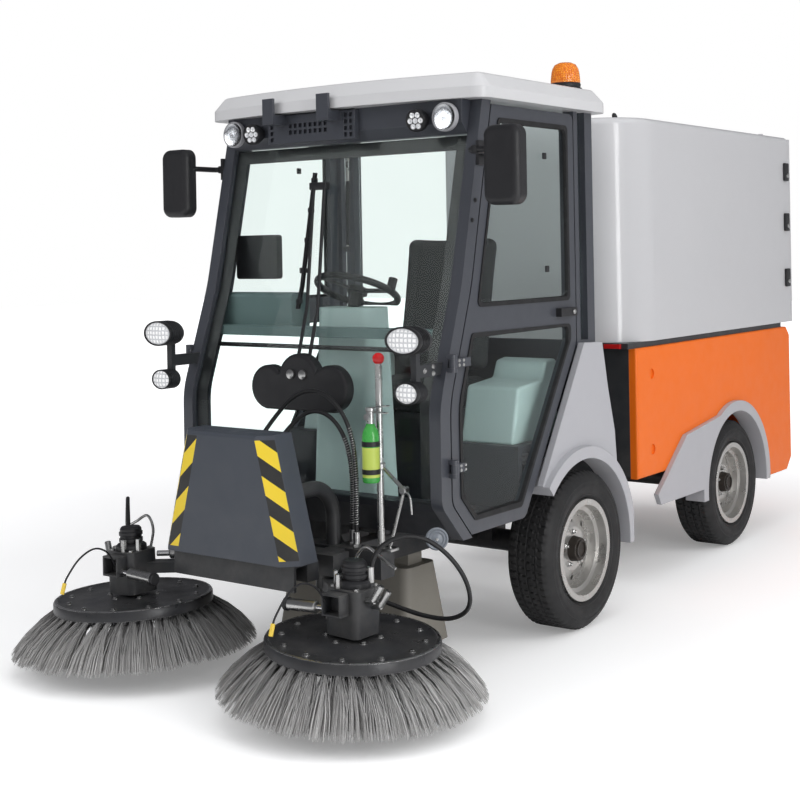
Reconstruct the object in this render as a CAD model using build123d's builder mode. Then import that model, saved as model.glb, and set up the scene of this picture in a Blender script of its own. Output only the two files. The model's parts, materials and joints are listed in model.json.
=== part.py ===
"""Articulated electric road sweeper: cab section, side brushes, rear section with a tipping hopper.

Millimetres, X forward, Y left, Z up. The origin is on the floor at the middle of the machine.
"""

import os
from math import cos, hypot, radians, sin, tan

from build123d import *

os.makedirs("parts", exist_ok=True)

# Clearances
RUN = 0.3  # between a shaft or a resting face and its seat
SHUT = 8  # gap round a door
SWING = 6  # least room beside a turning piece

# Wheels
TYRE_D = 640
TYRE_W = 205
BEAD_R = 192
FLANGE_R = 206
RIM_W = 172
STUB_R = 32
HUB_R = 52
FRONT_AXLE_X = 440
REAR_AXLE_X = -1368
FRONT_TRACK = 1184
REAR_TRACK = 906
HUB_Z = TYRE_D / 2
AXLE_R = 45
VENT_HOLES = 8

# Frames and the pivot between them
RAIL_Y = 230
RAIL_W = 70
RAIL_H = 98
AXLE_DROP = 8
PIVOT_X = -100
PIN_R = 35
FORK_R = 80
FORK_PLATE = 30
FORK_GAP = 158
FRONT_RAIL_Z = HUB_Z + AXLE_R + AXLE_DROP
FRONT_RAIL_TOP = FRONT_RAIL_Z + RAIL_H
FORK_TOP = FRONT_RAIL_Z + FORK_PLATE + FORK_GAP

# Wheel arches
ARCH_GAP = 52
ARCH_LIP = 53
ARCH_R = TYRE_D / 2 + ARCH_GAP
ARCH_OUT = ARCH_R + ARCH_LIP

# Cab
CAB_HALF = 640
POST_DEEP = 50
CAB_REAR = 249
ROOF_Z = 2112
FLOOR_Z = 500
FLOOR_T = 30
PILLAR_W = 60
GLASS_T = 6
PLATFORM_Z = HUB_Z + ARCH_OUT + 2
CAB_IN = CAB_HALF - POST_DEEP
DOOR_T = 36
DOOR_REAR = 410
B_POST_W = 30
C_POST_W = 60
WINDOW_RIM = 55
BAND_Z = 1292
BAND_H = 105

# Front edge of the cab from roof to toe: X, Z, and the fillet radius of each corner between
CAB_CURVE_XZ = ((1086, ROOF_Z), (1243, 1420), (1392, 1000), (1392, 640), (1262, FLOOR_Z))
CAB_BENDS = (900, 330, 70)
CAB_NOSE = CAB_CURVE_XZ[2][0]
CAB_BROW = CAB_CURVE_XZ[0][0]

# Door hinges on the A pillar
HINGE_X = 1334
HINGE_STAND = 18
HINGE_Z = (770, 1147)
HINGE_PIN_R = 8
HINGE_EYE_R = 15
HINGE_LEAF = 32

# Roof
ROOF_REAR = 190
ROOF_FRONT = 1150
ROOF_BOW = 80
ROOF_HALF = 695
ROOF_LIP = 42
ROOF_CROWN = 58

# Side brushes
BRUSH_X = 1778
BRUSH_Y = 533
BRUSH_R = 462
PLATE_R = 300
PLATE_Z = 222
PLATE_T = 38
BRUSH_TILT = 2.5
TIP_CLEAR = 45
TUFTS = 44
TUFT_W = 34
SHAFT_R = 25
MOTOR_R = 70
MOTOR_H = 158
MOTOR_LIFT = 12
ARM_PIN_X = 1560
ARM_PIN_Y = 250
ARM_PIN_R = 20
ARM_EYE_R = 45
ARM_H = 50
ARM_W = 64
BEAM_H = 75
HOSE_D = 16

# Front box
BOX_REAR = 1705
BOX_DEEP = 141
BOX_Z = 471
BOX_H = 445
BOX_HALF_LOW = 325
BOX_HALF_TOP = 212
BOX_CUT = 50
APRON_T = 12
APRON_H = 95

# Rear section
BODY_HALF = 556
BODY_T = 40
BODY_FRONT = -291
BODY_REAR = -2169
BODY_TOP = 1085
SKIRT_Z = 489
TAIL_Z = 288
REAR_RAIL_Z = 400
DECK_T = 26
DECK_TOP = BODY_TOP + DECK_T

# Hopper
HOPPER_FRONT = -220
HOPPER_REAR = -2190
HOPPER_H = 1036
HOPPER_T = 30
HOPPER_CORNER = 270
HOPPER_Z = DECK_TOP + RUN
HOPPER_TOP = HOPPER_Z + HOPPER_H
TIP_X = -2120
TIP_PIN_R = 18
TIP_EAR_R = 36
GATE_T = 36
GATE_PIN_R = 12


def write(part, label):
    """Names a finished piece and writes its STEP file."""
    part.label = label
    export_step(part, f"parts/{label}.step")


def write_pair(part, label):
    """Writes a left piece and its mirror image on the right."""
    write(part, f"{label}_left")
    write(mirror(part, about=Plane.XZ), f"{label}_right")


def side_plane(y):
    """A plane facing +Y reversed, so that extruding goes inwards from y."""
    return Plane.XZ.offset(-y)


def along(first, second, z):
    """X where the line through two X, Z points passes height z."""
    return first[0] + (second[0] - first[0]) * (z - first[1]) / (second[1] - first[1])


def cab_edge(shift, top=ROOF_Z, low=FLOOR_Z):
    """The cab's front edge moved back by shift, from height top down to low, as a filleted line."""
    ends = (along(*CAB_CURVE_XZ[:2], top), top), (along(*CAB_CURVE_XZ[-2:], low), low)
    points = [ends[0], *CAB_CURVE_XZ[1:-1], ends[1]]
    return FilletPolyline(*[(x - shift, z) for x, z in points], radius=CAB_BENDS)


def cab_strip(front, back, y):
    """A closed strip along the cab's front edge, between two shifts, as a sketch at y."""
    with BuildSketch(side_plane(y)) as strip:
        with BuildLine():
            outer = cab_edge(front)
            inner = cab_edge(back)
            Line(outer @ 0, inner @ 0)
            Line(outer @ 1, inner @ 1)
        make_face()
    return strip.sketch


SLANT_ACROSS = 0.838
SLANT_UP = 0.545
BELT_Z = HUB_Z + (ARCH_OUT + SHUT - (DOOR_REAR - FRONT_AXLE_X) * SLANT_ACROSS) / SLANT_UP


def slant_x(z, room):
    """X at height z of the slanted door edge, room away from the front wheel arch."""
    return FRONT_AXLE_X + (ARCH_OUT + room - (z - HUB_Z) * SLANT_UP) / SLANT_ACROSS


def door_edge(z):
    """X of the door's front edge at the height of a hinge."""
    return min(along(*CAB_CURVE_XZ[1:3], z), CAB_NOSE) - PILLAR_W - SHUT


def tube(points, radius, bend):
    """A round bar along points with bent corners."""
    with BuildPart() as bar:
        with BuildLine() as path:
            FilletPolyline(*points, radius=bend)
        with BuildSketch(Plane(origin=path.line @ 0, z_dir=path.line % 0)):
            Circle(radius)
        sweep(path=path.line)
    return bar.part


def hose(points, label):
    """A hose along its route, with each bend as large as its two runs allow."""
    route = [Vector(*p) for p in points]
    bends = []
    for before, here, after in zip(route, route[1:], route[2:]):
        turn = (here - before).get_angle(after - here)
        run = min((here - before).length, (after - here).length)
        bends.append(0.45 * run / tan(radians(turn) / 2))
    print(label, "bend radii", [round(b) for b in bends])
    return tube(points, HOSE_D / 2, bends)


# Wheels: tyre and rim of one corner, written at each end of both axles
# name, axle X, centre Y, side
CORNERS = (
    ("front_left", FRONT_AXLE_X, FRONT_TRACK / 2, 1),
    ("front_right", FRONT_AXLE_X, -FRONT_TRACK / 2, -1),
    ("rear_left", REAR_AXLE_X, REAR_TRACK / 2, 1),
    ("rear_right", REAR_AXLE_X, -REAR_TRACK / 2, -1),
)
HALF_W = TYRE_W / 2
HALF_RIM = RIM_W / 2
TYRE_R = TYRE_D / 2
BEAD_Y = HALF_RIM - 8
SHOULDER = 14
TREAD_HALF = HALF_W - 30

with BuildPart() as tyre:
    with BuildSketch(Plane.XY):
        with BuildLine():
            belly = (BEAD_R + TYRE_R) / 2
            left = Polyline((BEAD_R, -BEAD_Y), (FLANGE_R, -BEAD_Y))
            low_wall = ThreePointArc(left @ 1, (belly, -HALF_W), (TYRE_R - SHOULDER, SHOULDER - HALF_W))
            tread = Polyline(
                low_wall @ 1,
                (TYRE_R, -TREAD_HALF),
                (TYRE_R, TREAD_HALF),
                (TYRE_R - SHOULDER, HALF_W - SHOULDER),
            )
            high_wall = ThreePointArc(tread @ 1, (belly, HALF_W), (FLANGE_R, BEAD_Y))
            Polyline(high_wall @ 1, (BEAD_R, BEAD_Y), (BEAD_R, -BEAD_Y))
        make_face()
    revolve(axis=Axis.Y)

BARREL_R = BEAD_R - RUN
DISC_Y = 8
HUB_FACE = 34
with BuildPart() as rim:
    with BuildSketch(Plane.XY):
        with BuildLine():
            Polyline(
                (BARREL_R - 14, -HALF_RIM - 6),
                (FLANGE_R, -HALF_RIM - 6),
                (FLANGE_R, -BEAD_Y - RUN),
                (BARREL_R, -BEAD_Y - RUN),
                (BARREL_R, BEAD_Y + RUN),
                (FLANGE_R, BEAD_Y + RUN),
                (FLANGE_R, HALF_RIM + 6),
                (BARREL_R - 10, HALF_RIM + 6),
                (BARREL_R - 16, HALF_RIM - 30),
                (BARREL_R - 34, HALF_RIM - 34),
                (BARREL_R - 40, DISC_Y + 8),
                (HUB_R + 36, HUB_FACE),
                (HUB_R, HUB_FACE),
                (HUB_R - 6, HUB_FACE + 34),
                (0, HUB_FACE + 38),
                (0, HUB_FACE - 10),
                (STUB_R + RUN, HUB_FACE - 10),
                (STUB_R + RUN, -DISC_Y),
                (HUB_R, -DISC_Y),
                (HUB_R + 10, HUB_FACE - 12),
                (HUB_R + 30, HUB_FACE - 12),
                (BARREL_R - 50, DISC_Y - 6),
                (BARREL_R - 14, DISC_Y - 6),
                close=True,
            )
        make_face()
    revolve(axis=Axis.Y)
    with BuildSketch(Plane.XZ):
        with PolarLocations((HUB_R + 36 + BARREL_R - 40) / 2, VENT_HOLES):
            Circle(11)
    extrude(amount=TYRE_W, both=True, mode=Mode.SUBTRACT)

for name, axle_x, centre_y, side in CORNERS:
    place = Location((axle_x, centre_y, HUB_Z), (0, 0, 0 if side > 0 else 180))
    write(tyre.part.moved(place), f"tyre_{name}")
    write(rim.part.moved(place), f"rim_{name}")

# Axles: a tube with brake drums, stubs into the rims and pads up to the rails
# label, X, track, underside of the rails
AXLES = (
    ("front_axle", FRONT_AXLE_X, FRONT_TRACK, FRONT_RAIL_Z),
    ("rear_axle", REAR_AXLE_X, REAR_TRACK, REAR_RAIL_Z),
)
DRUM_R = 120
for label, axle_x, track, pad_top in AXLES:
    with BuildPart() as axle:
        middle = Location((axle_x, 0, HUB_Z), (90, 0, 0))
        with Locations(middle):
            Cylinder(AXLE_R, track - 2 * (DISC_Y + SWING))
            Cylinder(STUB_R, track + 2 * (HUB_FACE - 12))
        with Locations((axle_x, track / 2 - 55, HUB_Z), (axle_x, 55 - track / 2, HUB_Z)):
            Cylinder(DRUM_R, 60, rotation=(90, 0, 0))
        with Locations((axle_x, RAIL_Y, HUB_Z), (axle_x, -RAIL_Y, HUB_Z)):
            Box(110, RAIL_W, pad_top - HUB_Z, align=(Align.CENTER, Align.CENTER, Align.MIN))
    write(axle.part, label)

# Front chassis: rails, cross members and the fork that holds the pivot pin
COLUMN_X = 60
COLUMN_T = 80
CHASSIS_NOSE = 1480
NOSE_HALF = 430
with BuildPart() as front_chassis:
    with BuildSketch(Plane.XY.offset(FRONT_RAIL_Z)):
        for y in (RAIL_Y, -RAIL_Y):
            with Locations(((COLUMN_X + CHASSIS_NOSE) / 2, y)):
                Rectangle(CHASSIS_NOSE - COLUMN_X, RAIL_W)
        with Locations((CHASSIS_NOSE - COLUMN_T / 2, 0)):
            Rectangle(COLUMN_T, 2 * NOSE_HALF)
        with Locations((FRONT_AXLE_X + 330, 0)):
            Rectangle(COLUMN_T, 2 * RAIL_Y)
    extrude(amount=RAIL_H)
    with Locations((COLUMN_X, 0, FRONT_RAIL_Z)):
        column_h = FORK_TOP + FORK_PLATE - FRONT_RAIL_Z
        Box(COLUMN_T, 2 * RAIL_Y + RAIL_W, column_h, align=(Align.MIN, Align.CENTER, Align.MIN))
    for z in (FRONT_RAIL_Z, FORK_TOP):
        with BuildSketch(Plane.XY.offset(z)):
            with Locations((PIVOT_X, 0)):
                Circle(FORK_R)
            with Locations(((PIVOT_X + COLUMN_X) / 2, 0)):
                Rectangle(COLUMN_X - PIVOT_X, 2 * FORK_R)
        extrude(amount=FORK_PLATE)
    with Locations((PIVOT_X, 0, FRONT_RAIL_Z)):
        Cylinder(PIN_R, FORK_TOP - FRONT_RAIL_Z, align=(Align.CENTER, Align.CENTER, Align.MIN))
write(front_chassis.part, "front_chassis")

# Suction mouth: an open box over the road, hung from the rails
MOUTH_REAR = 900
MOUTH_FRONT = 1195
MOUTH_HALF = 330
MOUTH_Z = 25
MOUTH_TOP = FRONT_RAIL_Z - 42
MOUTH_T = 14
MOUTH_MID = (MOUTH_REAR + MOUTH_FRONT) / 2
with BuildPart() as suction_mouth:
    with BuildSketch(Plane.XY.offset(MOUTH_Z)):
        with Locations((MOUTH_MID, 0)):
            RectangleRounded(MOUTH_FRONT - MOUTH_REAR, 2 * MOUTH_HALF, 40)
    with BuildSketch(Plane.XY.offset(MOUTH_TOP)):
        with Locations((MOUTH_MID, 0)):
            RectangleRounded(200, 2 * MOUTH_HALF - 60, 40)
    loft()
    with BuildSketch(Plane.XY.offset(MOUTH_Z)):
        with Locations((MOUTH_MID, 0)):
            RectangleRounded(MOUTH_FRONT - MOUTH_REAR - 2 * MOUTH_T, 2 * (MOUTH_HALF - MOUTH_T), 28)
    with BuildSketch(Plane.XY.offset(MOUTH_TOP - MOUTH_T)):
        with Locations((MOUTH_MID, 0)):
            RectangleRounded(200 - 2 * MOUTH_T, 2 * (MOUTH_HALF - MOUTH_T) - 60, 28)
    loft(mode=Mode.SUBTRACT)
    with Locations((MOUTH_MID, RAIL_Y, MOUTH_TOP), (MOUTH_MID, -RAIL_Y, MOUTH_TOP)):
        Box(90, RAIL_W, FRONT_RAIL_Z - MOUTH_TOP, align=(Align.CENTER, Align.CENTER, Align.MIN))
write(suction_mouth.part, "suction_mouth")

# Cab floor: foot well, riser, seat platform, rear wall and the front beam under the windscreen
WALL_T = 30
WELL_REAR = 800
SILL_Z = 640
SILL_FRONT = CAB_NOSE - 37
with BuildPart() as cab_floor:
    with BuildSketch(Plane.XZ):
        with BuildLine():
            Polyline(
                (CAB_REAR, PLATFORM_Z),
                (CAB_REAR, PLATFORM_Z + FLOOR_T),
                (WELL_REAR, PLATFORM_Z + FLOOR_T),
                (WELL_REAR, FLOOR_Z + FLOOR_T),
                (SILL_FRONT - 130, FLOOR_Z + FLOOR_T),
                (SILL_FRONT - 65, SILL_Z),
                (SILL_FRONT, SILL_Z),
                (SILL_FRONT - 5, SILL_Z - FLOOR_T),
                (CAB_CURVE_XZ[-1][0], FLOOR_Z),
                (WELL_REAR - FLOOR_T, FLOOR_Z),
                (WELL_REAR - FLOOR_T, PLATFORM_Z),
                close=True,
            )
        make_face()
    extrude(amount=CAB_IN, both=True)
    with Locations((CAB_REAR, 0, PLATFORM_Z)):
        Box(WALL_T, 2 * CAB_IN, BELT_Z - PLATFORM_Z, align=(Align.MIN, Align.CENTER, Align.MIN))
    for x in (900, 1200):
        with Locations((x, RAIL_Y, FRONT_RAIL_TOP), (x, -RAIL_Y, FRONT_RAIL_TOP)):
            Cylinder(30, FLOOR_Z - FRONT_RAIL_TOP, align=(Align.CENTER, Align.CENTER, Align.MIN))
    with Locations((CAB_REAR + 60, RAIL_Y, FRONT_RAIL_TOP), (CAB_REAR + 60, -RAIL_Y, FRONT_RAIL_TOP)):
        Box(70, RAIL_W, PLATFORM_Z - FRONT_RAIL_TOP, align=(Align.CENTER, Align.CENTER, Align.MIN))
write(cab_floor.part, "cab_floor")

# Cab posts: A pillars with hinge lugs and pins, B posts, C posts
HINGE_Y = CAB_HALF + HINGE_STAND
EYE_HALF = HINGE_LEAF / 2 - RUN
B_POST_X = DOOR_REAR - SHUT - B_POST_W
with BuildPart() as cab_pillars:
    extrude(cab_strip(0, PILLAR_W, CAB_HALF), amount=POST_DEEP)
    for z in HINGE_Z:
        back = min(HINGE_EYE_R, HINGE_X - door_edge(z) - SWING)
        for lug in (z + HINGE_LEAF / 2, z - HINGE_LEAF):
            with Locations((HINGE_X - back, CAB_HALF, lug)):
                Box(back + HINGE_EYE_R, HINGE_STAND, HINGE_LEAF / 2, align=(Align.MIN, Align.MIN, Align.MIN))
            with Locations((HINGE_X, HINGE_Y, lug)):
                Cylinder(HINGE_EYE_R, HINGE_LEAF / 2, align=(Align.CENTER, Align.CENTER, Align.MIN))
        with Locations((HINGE_X, HINGE_Y, z)):
            Cylinder(HINGE_PIN_R, HINGE_LEAF)
    with Locations((B_POST_X, CAB_HALF, BELT_Z + SHUT)):
        Box(B_POST_W, POST_DEEP, ROOF_Z - BELT_Z - SHUT, align=(Align.MIN, Align.MAX, Align.MIN))
    with Locations((CAB_REAR, CAB_HALF, PLATFORM_Z + FLOOR_T)):
        Box(C_POST_W, POST_DEEP, ROOF_Z - PLATFORM_Z - FLOOR_T, align=(Align.MIN, Align.MAX, Align.MIN))
    with Locations((CAB_REAR, CAB_HALF, BELT_Z + SHUT)):
        Box(B_POST_X + B_POST_W - CAB_REAR, POST_DEEP, 40, align=(Align.MIN, Align.MAX, Align.MAX))
    mirror(about=Plane.XZ)
write(cab_pillars.part, "cab_pillars")

# Windscreen: a curved sheet between the A pillars, from the sill to the header
HEADER_Z = 1985
SCREEN_IN = 16
with BuildPart() as windscreen:
    extrude(cab_strip(SCREEN_IN, SCREEN_IN + GLASS_T, 0), amount=CAB_IN - RUN, both=True)
    with Locations((CAB_NOSE, 0, SILL_Z + RUN)):
        Box(
            CAB_NOSE,
            2 * CAB_HALF,
            HEADER_Z - SILL_Z - 2 * RUN,
            align=(Align.CENTER, Align.CENTER, Align.MIN),
            mode=Mode.INTERSECT,
        )
write(windscreen.part, "windscreen")

# Cab side and rear glass
GLASS_IN = 22
with BuildPart() as cab_glass:
    quarter_rear = CAB_REAR + C_POST_W + RUN
    quarter_wide = B_POST_X - RUN - quarter_rear
    with Locations((quarter_rear, CAB_HALF - GLASS_IN, BELT_Z + SHUT + RUN)):
        Box(quarter_wide, GLASS_T, ROOF_Z - BELT_Z - SHUT - 2 * RUN, align=(Align.MIN, Align.MAX, Align.MIN))
    mirror(about=Plane.XZ)
    with Locations((CAB_REAR + WALL_T / 2, 0, BELT_Z + RUN)):
        Box(
            GLASS_T,
            2 * (CAB_IN - RUN),
            ROOF_Z - BELT_Z - 2 * RUN,
            align=(Align.CENTER, Align.CENTER, Align.MIN),
        )
write(cab_glass.part, "cab_glass")

# Roof cap: a bowed lip, a crowned top and a hollow underside
with BuildPart() as cab_roof:
    with BuildSketch(Plane.XY.offset(ROOF_Z)) as roof_plan:
        with BuildLine():
            back = Polyline(
                (ROOF_FRONT, ROOF_HALF),
                (ROOF_REAR, ROOF_HALF),
                (ROOF_REAR, -ROOF_HALF),
                (ROOF_FRONT, -ROOF_HALF),
            )
            ThreePointArc(back @ 1, (ROOF_FRONT + ROOF_BOW, 0), back @ 0)
        make_face()
        fillet(roof_plan.vertices(), 70)
    extrude(amount=ROOF_LIP)
    extrude(roof_plan.sketch.moved(Location((0, 0, ROOF_LIP))), amount=ROOF_CROWN, taper=40)
    fillet(cab_roof.faces().sort_by(Axis.Z)[-1].edges(), 30)
    with Locations(((CAB_REAR + C_POST_W + CAB_BROW - PILLAR_W) / 2, 0, ROOF_Z)):
        Box(
            CAB_BROW - PILLAR_W - CAB_REAR - C_POST_W - 40,
            2 * CAB_IN - 40,
            ROOF_LIP + ROOF_CROWN - 30,
            align=(Align.CENTER, Align.CENTER, Align.MIN),
            mode=Mode.SUBTRACT,
        )
write(cab_roof.part, "cab_roof")

# Header over the windscreen, with a stepped front
HEADER_REAR = 1050
HEADER_FRONT = 1150
HEADER_CUT = 40
with BuildPart() as cab_header:
    with Locations((HEADER_REAR, 0, HEADER_Z)):
        Box(
            HEADER_FRONT - HEADER_REAR,
            2 * (CAB_IN - RUN),
            ROOF_Z - HEADER_Z,
            align=(Align.MIN, Align.CENTER, Align.MIN),
        )
    chamfer(cab_header.edges().filter_by(Axis.Y).group_by(Axis.X)[-1].sort_by(Axis.Z)[0], HEADER_CUT)
write(cab_header.part, "cab_header")

# Vent panel on the header: punched square holes and two hooks over the roof edge
VENT_Y = -120
VENT_W = 450
VENT_H = 112
VENT_T = 25
VENT_TOP = ROOF_Z - 6
HOLE = 17
HOLE_DEEP = 12
HOLE_PITCH = 26
# blocks of holes: Y from the panel's middle, columns, rows
VENT_BLOCKS = ((-205, 1, 4), (-15, 8, 2), (192, 2, 4))
# hooks: Y from the panel's middle, width
HOOKS = ((-156, 56), (127, 60))
HOOK_T = 12
HOOK_H = 40
HOOK_RISE = 64
with BuildPart() as vent_panel:
    with Locations((HEADER_FRONT, VENT_Y, VENT_TOP)):
        Box(VENT_T, VENT_W, VENT_H, align=(Align.MIN, Align.CENTER, Align.MAX))
    with BuildSketch(Plane.YZ.offset(HEADER_FRONT + VENT_T)):
        for y, columns, rows in VENT_BLOCKS:
            with Locations((VENT_Y + y, VENT_TOP - VENT_H / 2)):
                with GridLocations(HOLE_PITCH, HOLE_PITCH, columns, rows):
                    Rectangle(HOLE, HOLE)
    extrude(amount=-HOLE_DEEP, mode=Mode.SUBTRACT)
    for y, wide in HOOKS:
        with Locations((HEADER_FRONT + VENT_T, VENT_Y + y, VENT_TOP)):
            Box(ROOF_BOW, wide, HOOK_H, align=(Align.MIN, Align.CENTER, Align.MAX))
        with Locations((HEADER_FRONT + VENT_T + ROOF_BOW, VENT_Y + y, VENT_TOP - HOOK_H)):
            Box(HOOK_T, wide, HOOK_H + HOOK_RISE, align=(Align.MAX, Align.CENTER, Align.MIN))
write(vent_panel.part, "vent_panel")

# Roof lamps on the header: Y, radius, depth
ROOF_LAMPS = (
    (CAB_IN - 57, 54, 46),
    (CAB_IN - 175, 44, 60),
)
with BuildPart() as roof_lamps:
    for y, radius, depth in ROOF_LAMPS:
        with BuildSketch(Plane.YZ.offset(HEADER_FRONT)):
            with Locations((y, ROOF_Z - 12 - ROOF_LAMPS[0][1])):
                Circle(radius)
        extrude(amount=depth)
    fillet(roof_lamps.edges().filter_by(GeomType.CIRCLE).group_by(Axis.X)[-1], 10)
    mirror(about=Plane.XZ)
write(roof_lamps.part, "roof_lamps")

# Work lamps on arms ahead of the A pillars: Z, width, height, front X
WORK_LAMPS = (
    (1240, 150, 96, 1560),
    (1056, 100, 76, 1545),
)
ARM_Z = 1128
LAMP_POST_X = 1490
LAMP_BAR = 24
LAMP_Y = CAB_HALF - 35
with BuildPart() as work_lamps:
    with Locations((LAMP_POST_X, LAMP_Y, ARM_Z)):
        Box(LAMP_POST_X - HINGE_X + LAMP_BAR, LAMP_BAR, 44, align=(Align.MAX, Align.CENTER, Align.CENTER))
    with Locations((LAMP_POST_X, LAMP_Y, WORK_LAMPS[1][0])):
        Box(
            LAMP_BAR,
            LAMP_BAR,
            WORK_LAMPS[0][0] - WORK_LAMPS[1][0],
            align=(Align.CENTER, Align.CENTER, Align.MIN),
        )
    for z, wide, high, front in WORK_LAMPS:
        with BuildSketch(Plane.YZ.offset(LAMP_POST_X)):
            with Locations((LAMP_Y, z)):
                Ellipse(wide / 2, high / 2)
        extrude(amount=front - LAMP_POST_X)
    extrude(cab_strip(-RUN, PILLAR_W + 200, CAB_HALF), amount=POST_DEEP, mode=Mode.SUBTRACT)
    mirror(about=Plane.XZ)
write(work_lamps.part, "work_lamps")

# Mirrors on bent arms from the tops of the A pillars
MIRROR_X = 1275
MIRROR_Z = 1850
MIRROR_W = 150
MIRROR_H = 284
MIRROR_T = 60
MIRROR_FOOT_X = 1110
MIRROR_ARM_Y = CAB_HALF + 60
MIRROR_ARM_Z = MIRROR_Z + 60
# how far each mirror's middle stands out from its arm: side, distance
MIRROR_OUT = ((1, 150), (-1, 66))
with BuildPart() as mirrors:
    for side, out in MIRROR_OUT:
        middle_y = side * (MIRROR_ARM_Y + out)
        with BuildPart(mode=Mode.PRIVATE) as shell:
            with BuildSketch(Plane.YZ.offset(MIRROR_X - MIRROR_T / 2)):
                with Locations((middle_y, MIRROR_Z)):
                    RectangleRounded(MIRROR_W, MIRROR_H, 40)
            extrude(amount=MIRROR_T)
            fillet(shell.faces().sort_by(Axis.X)[-1].edges(), 24)
        add(shell.part)
        add(
            tube(
                (
                    (MIRROR_FOOT_X, side * CAB_HALF, MIRROR_ARM_Z),
                    (MIRROR_FOOT_X, side * MIRROR_ARM_Y, MIRROR_ARM_Z),
                    (MIRROR_X, side * MIRROR_ARM_Y, MIRROR_ARM_Z),
                    (MIRROR_X, middle_y, MIRROR_ARM_Z),
                ),
                11,
                26,
            )
        )
        with Locations((MIRROR_FOOT_X, side * (CAB_HALF + 7), MIRROR_ARM_Z)):
            Box(50, 14, 90)
write(mirrors.part, "mirrors")

# Beacon on the left rear of the roof
BEACON_X = ROOF_REAR + 112
BEACON_Y = ROOF_HALF - 145
BEACON_R = 62
ROOF_TOP = ROOF_Z + ROOF_LIP + ROOF_CROWN
with BuildPart() as beacon:
    with BuildSketch(Plane.XZ.offset(-BEACON_Y)):
        with BuildLine():
            base = Polyline(
                (BEACON_X, ROOF_TOP),
                (BEACON_X + BEACON_R + 6, ROOF_TOP),
                (BEACON_X + BEACON_R + 6, ROOF_TOP + 26),
                (BEACON_X + BEACON_R, ROOF_TOP + 30),
                (BEACON_X + BEACON_R - 8, ROOF_TOP + 90),
            )
            dome = ThreePointArc(
                base @ 1, (BEACON_X + BEACON_R - 24, ROOF_TOP + 112), (BEACON_X + BEACON_R - 44, ROOF_TOP + 118)
            )
            Polyline(dome @ 1, (BEACON_X, ROOF_TOP + 118), (BEACON_X, ROOF_TOP))
        make_face()
    revolve(axis=Axis((BEACON_X, BEACON_Y, 0), (0, 0, 1)))
write(beacon.part, "beacon")

# Front fenders: a panel behind the door edge and a lip round the wheel
FENDER_T = 28
FENDER_OUT = FRONT_TRACK / 2 + TYRE_W / 2
TAIL_X = FRONT_AXLE_X - ARCH_R + 23
FENDER_TIP_Z = 622
with BuildPart() as front_fenders:
    with BuildSketch(side_plane(CAB_HALF + RUN + FENDER_T)):
        with BuildLine():
            Polyline(
                (slant_x(FENDER_TIP_Z, -6), FENDER_TIP_Z),
                (slant_x(BELT_Z, -6), BELT_Z),
                (CAB_REAR - 9, BELT_Z - 7),
                (CAB_REAR - 52, 963),
                (TAIL_X + 51, 771),
                (TAIL_X, HUB_Z - 37),
                (FRONT_AXLE_X, HUB_Z - 37),
                close=True,
            )
        make_face()
        with Locations((FRONT_AXLE_X, HUB_Z)):
            Circle(ARCH_R, mode=Mode.SUBTRACT)
    extrude(amount=FENDER_T)
    with BuildSketch(side_plane(FENDER_OUT)):
        with Locations((FRONT_AXLE_X, HUB_Z)):
            Circle(ARCH_OUT - 4)
            Circle(ARCH_R, mode=Mode.SUBTRACT)
        with BuildLine():
            Polyline(
                (FRONT_AXLE_X, HUB_Z - 37),
                (slant_x(FENDER_TIP_Z, -6), FENDER_TIP_Z),
                (slant_x(FENDER_TIP_Z, -6) - 20, 1000),
                (TAIL_X - 60, 1000),
                (TAIL_X - 60, HUB_Z - 37),
                close=True,
            )
        make_face(mode=Mode.INTERSECT)
    extrude(amount=FENDER_OUT - CAB_IN)
    mirror(about=Plane.XZ)
write(front_fenders.part, "front_fenders")

# Seat: pedestal, cushion and back
SEAT_X = 620
SEAT_W = 480
SEAT_TOP = PLATFORM_Z + FLOOR_T + 110
with BuildPart() as seat_base:
    with Locations((SEAT_X, 0, PLATFORM_Z + FLOOR_T)):
        Box(400, SEAT_W - 80, SEAT_TOP - PLATFORM_Z - FLOOR_T, align=(Align.CENTER, Align.CENTER, Align.MIN))
    fillet(seat_base.edges().filter_by(Axis.Z), 30)
write(seat_base.part, "seat_base")

CUSHION_T = 130
with BuildPart() as seat_cushion:
    with Locations((SEAT_X + 20, 0, SEAT_TOP + RUN)):
        Box(470, SEAT_W, CUSHION_T, align=(Align.CENTER, Align.CENTER, Align.MIN))
    fillet(seat_cushion.edges(), 40)
write(seat_cushion.part, "seat_cushion")

BACK_T = 120
BACK_H = 600
BACK_LEAN = 110
BACK_Z = SEAT_TOP + CUSHION_T + 2 * RUN
BACK_FRONT = SEAT_X - 110
with BuildPart() as seat_back:
    with BuildSketch(Plane.XZ):
        with BuildLine():
            Polyline(
                (BACK_FRONT, BACK_Z),
                (BACK_FRONT - BACK_LEAN, BACK_Z + BACK_H),
                (BACK_FRONT - BACK_LEAN - BACK_T + 30, BACK_Z + BACK_H),
                (BACK_FRONT - BACK_T, BACK_Z),
                close=True,
            )
        make_face()
    extrude(amount=SEAT_W / 2 - 10, both=True)
    fillet(seat_back.edges(), 36)
write(seat_back.part, "seat_back")

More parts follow.
